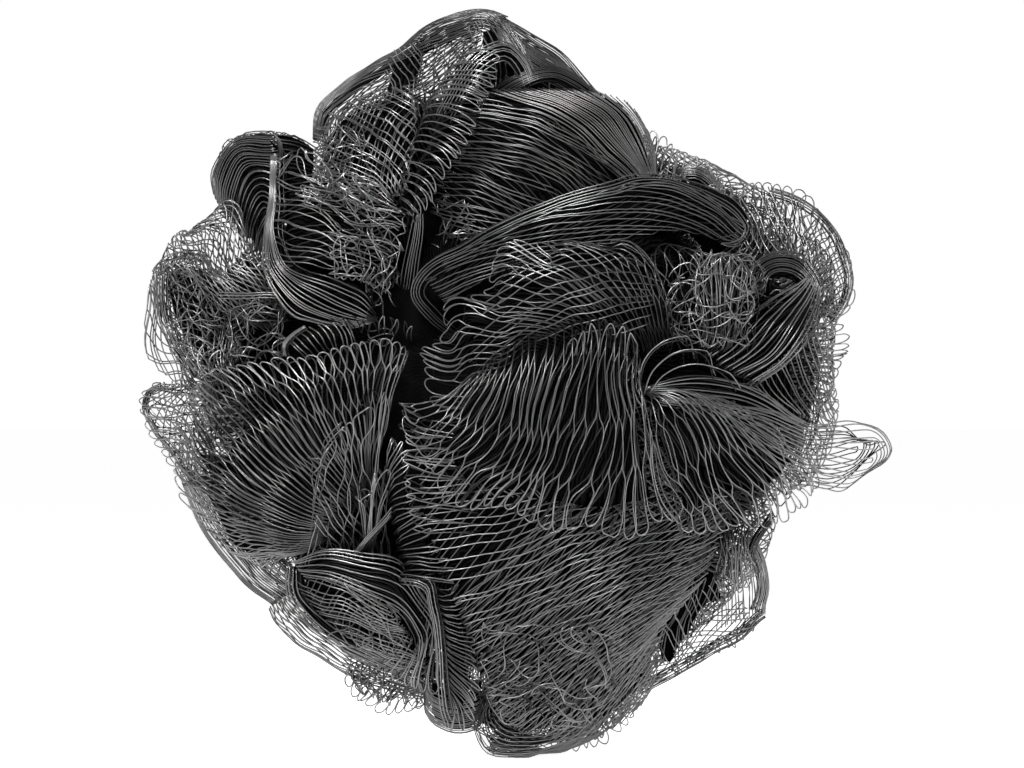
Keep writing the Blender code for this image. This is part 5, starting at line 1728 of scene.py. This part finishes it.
def gathered_profile():
    """Radii and heights of the gathered netting, from its front eye to its back one.

    From the waist a quarter ellipse flares out to the belt, another comes in over the
    bunch to the eye, and the eye sinks to a point. The other half is turned over.
    """
    belt = WAIST_LENGTH / 2 + FLARE_LENGTH
    bend = np.linspace(0, math.pi / 2, 20)
    radius = np.concatenate([
        WAIST_RADIUS + (BUNCH_RADIUS - WAIST_RADIUS) * np.sin(bend),
        EYE_RADIUS + (BUNCH_RADIUS - EYE_RADIUS) * np.cos(bend[1:]),
        [0.01],
    ])
    height = np.concatenate([
        belt - FLARE_LENGTH * np.cos(bend), belt + DOME_LENGTH * np.sin(bend[1:]),
        [belt + DOME_LENGTH - EYE_DEPTH],
    ])
    return (
        np.concatenate([radius[::-1], radius])[:, None],
        np.concatenate([height[::-1], -height])[:, None],
    )


def gathered_surface(turn):
    """The gathered netting as a grid of points at angles round its axis.

    The profile turned round the axis, its radius pleated by a sine of 48 waves whose
    phase itself sways, then the axis lifted and turned to the ball's own.
    """
    radius, height = gathered_profile()
    pleat = 1 + 0.012 * np.sin(48 * turn + 3 * np.sin(2 * turn)) * np.minimum(radius / 20, 1)
    upright = np.stack([radius * pleat * np.cos(turn), height + 0 * turn,
                        radius * pleat * np.sin(turn)], axis=-1) * MM
    lift = np.array([[1, 0, 0], [0, math.cos(GATHER_LIFT), math.sin(GATHER_LIFT)],
                     [0, -math.sin(GATHER_LIFT), math.cos(GATHER_LIFT)]])
    tilt = np.array([[math.cos(GATHER_TILT), math.sin(GATHER_TILT), 0],
                     [-math.sin(GATHER_TILT), math.cos(GATHER_TILT), 0], [0, 0, 1]])
    return MIDDLE + (upright * (1, -1, 1)) @ lift.T @ tilt.T


class SPONGE_OT_gathered_waist(bpy.types.Operator):
    """The gathered netting at the middle, and the cord that ties it"""

    bl_idname = "sponge.gathered_waist"
    bl_label = "Gathered waist"

    def execute(self, context):
        turn = np.linspace(0, 2 * math.pi, 361)[:-1][None, :]
        surface = gathered_surface(turn)
        rows, columns = surface.shape[:2]
        index = np.arange(rows * columns).reshape(rows, columns)
        beside = np.roll(index, -1, axis=1)
        quads = np.stack([index[:-1], beside[:-1], beside[1:], index[1:]], axis=-1).reshape(-1, 4)
        verts = surface.reshape(-1, 3)
        grain = np.tile(turn[0] * 40, rows)
        # The gathered core is drawn with the near-black packed material, which paints the shade in
        # the ball's middle.
        obj = add_mesh(
            "gathered_waist_netting",
            [(verts, quads, NO_FACES, np.stack([grain, np.ones_like(grain)], axis=-1), 0)],
            [finish("packed_netting_shade", packed_shade_material)],
        )
        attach(obj, "root")
        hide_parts("gathered_waist")
        cord = cord_material("twisted_cord")
        for name in ("binding_cord", "binding_knot"):
            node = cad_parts[name]
            node.data.materials.clear()
            node.data.materials.append(cord)
        return {"FINISHED"}


class SPONGE_OT_stage(bpy.types.Operator):
    """The floor, the white surround, the lamps and the camera"""

    bl_idname = "sponge.stage"
    bl_label = "Stage"

    def execute(self, context):
        settings = context.scene.sponge_stage
        scene = context.scene
        scene.view_settings.view_transform = "Standard"
        bpy.ops.mesh.primitive_plane_add(size=30)
        floor = context.active_object
        floor.name = "floor"
        floor.data.materials.append(floor_material("pale_floor"))
        white_world()
        data = bpy.data.cameras.new("camera")
        data.lens = settings.lens
        distance = settings.view_width * settings.lens / data.sensor_width
        camera = bpy.data.objects.new("camera", data)
        scene.collection.objects.link(camera)
        camera.location = (MIDDLE[0], MIDDLE[1] - distance, MIDDLE[2])
        camera.rotation_euler = (math.pi / 2, 0, 0)
        data.clip_end = 100
        scene.camera = camera
        for name, lamp in LAMPS.items():
            soft_lamp(name, *lamp)
        return {"FINISHED"}


OPERATORS = (
    SPONGE_OT_stage,
    SPONGE_OT_gathered_waist,
    SPONGE_OT_front_folds,
    SPONGE_OT_upper_folds,
    SPONGE_OT_left_folds,
    SPONGE_OT_lower_folds,
    SPONGE_OT_right_folds,
    SPONGE_OT_back_folds,
)


class SPONGE_PT_panel(bpy.types.Panel):
    """Lists the sponge's operators and settings"""

    bl_label = "Netting sponge"
    bl_idname = "SPONGE_PT_panel"
    bl_space_type = "VIEW_3D"
    bl_region_type = "UI"
    bl_category = "Sponge"

    def draw(self, context):
        for operator in OPERATORS:
            self.layout.operator(operator.bl_idname)
        for settings in (context.scene.sponge, context.scene.sponge_stage):
            for name in settings.bl_rna.properties.keys():
                if name not in ("rna_type", "name"):
                    self.layout.prop(settings, name)


CLASSES = (SpongeSettings, StageSettings, *OPERATORS, SPONGE_PT_panel)


def register():
    for item in CLASSES:
        bpy.utils.register_class(item)
    bpy.types.Scene.sponge = bpy.props.PointerProperty(type=SpongeSettings)
    bpy.types.Scene.sponge_stage = bpy.props.PointerProperty(type=StageSettings)


def unregister():
    del bpy.types.Scene.sponge
    del bpy.types.Scene.sponge_stage
    for item in reversed(CLASSES):
        bpy.utils.unregister_class(item)


def main():
    """Makes the stage and every piece."""
    register()
    for operator in OPERATORS:
        group, name = operator.bl_idname.split(".")
        getattr(getattr(bpy.ops, group), name)()


if __name__ == "__main__":
    main()
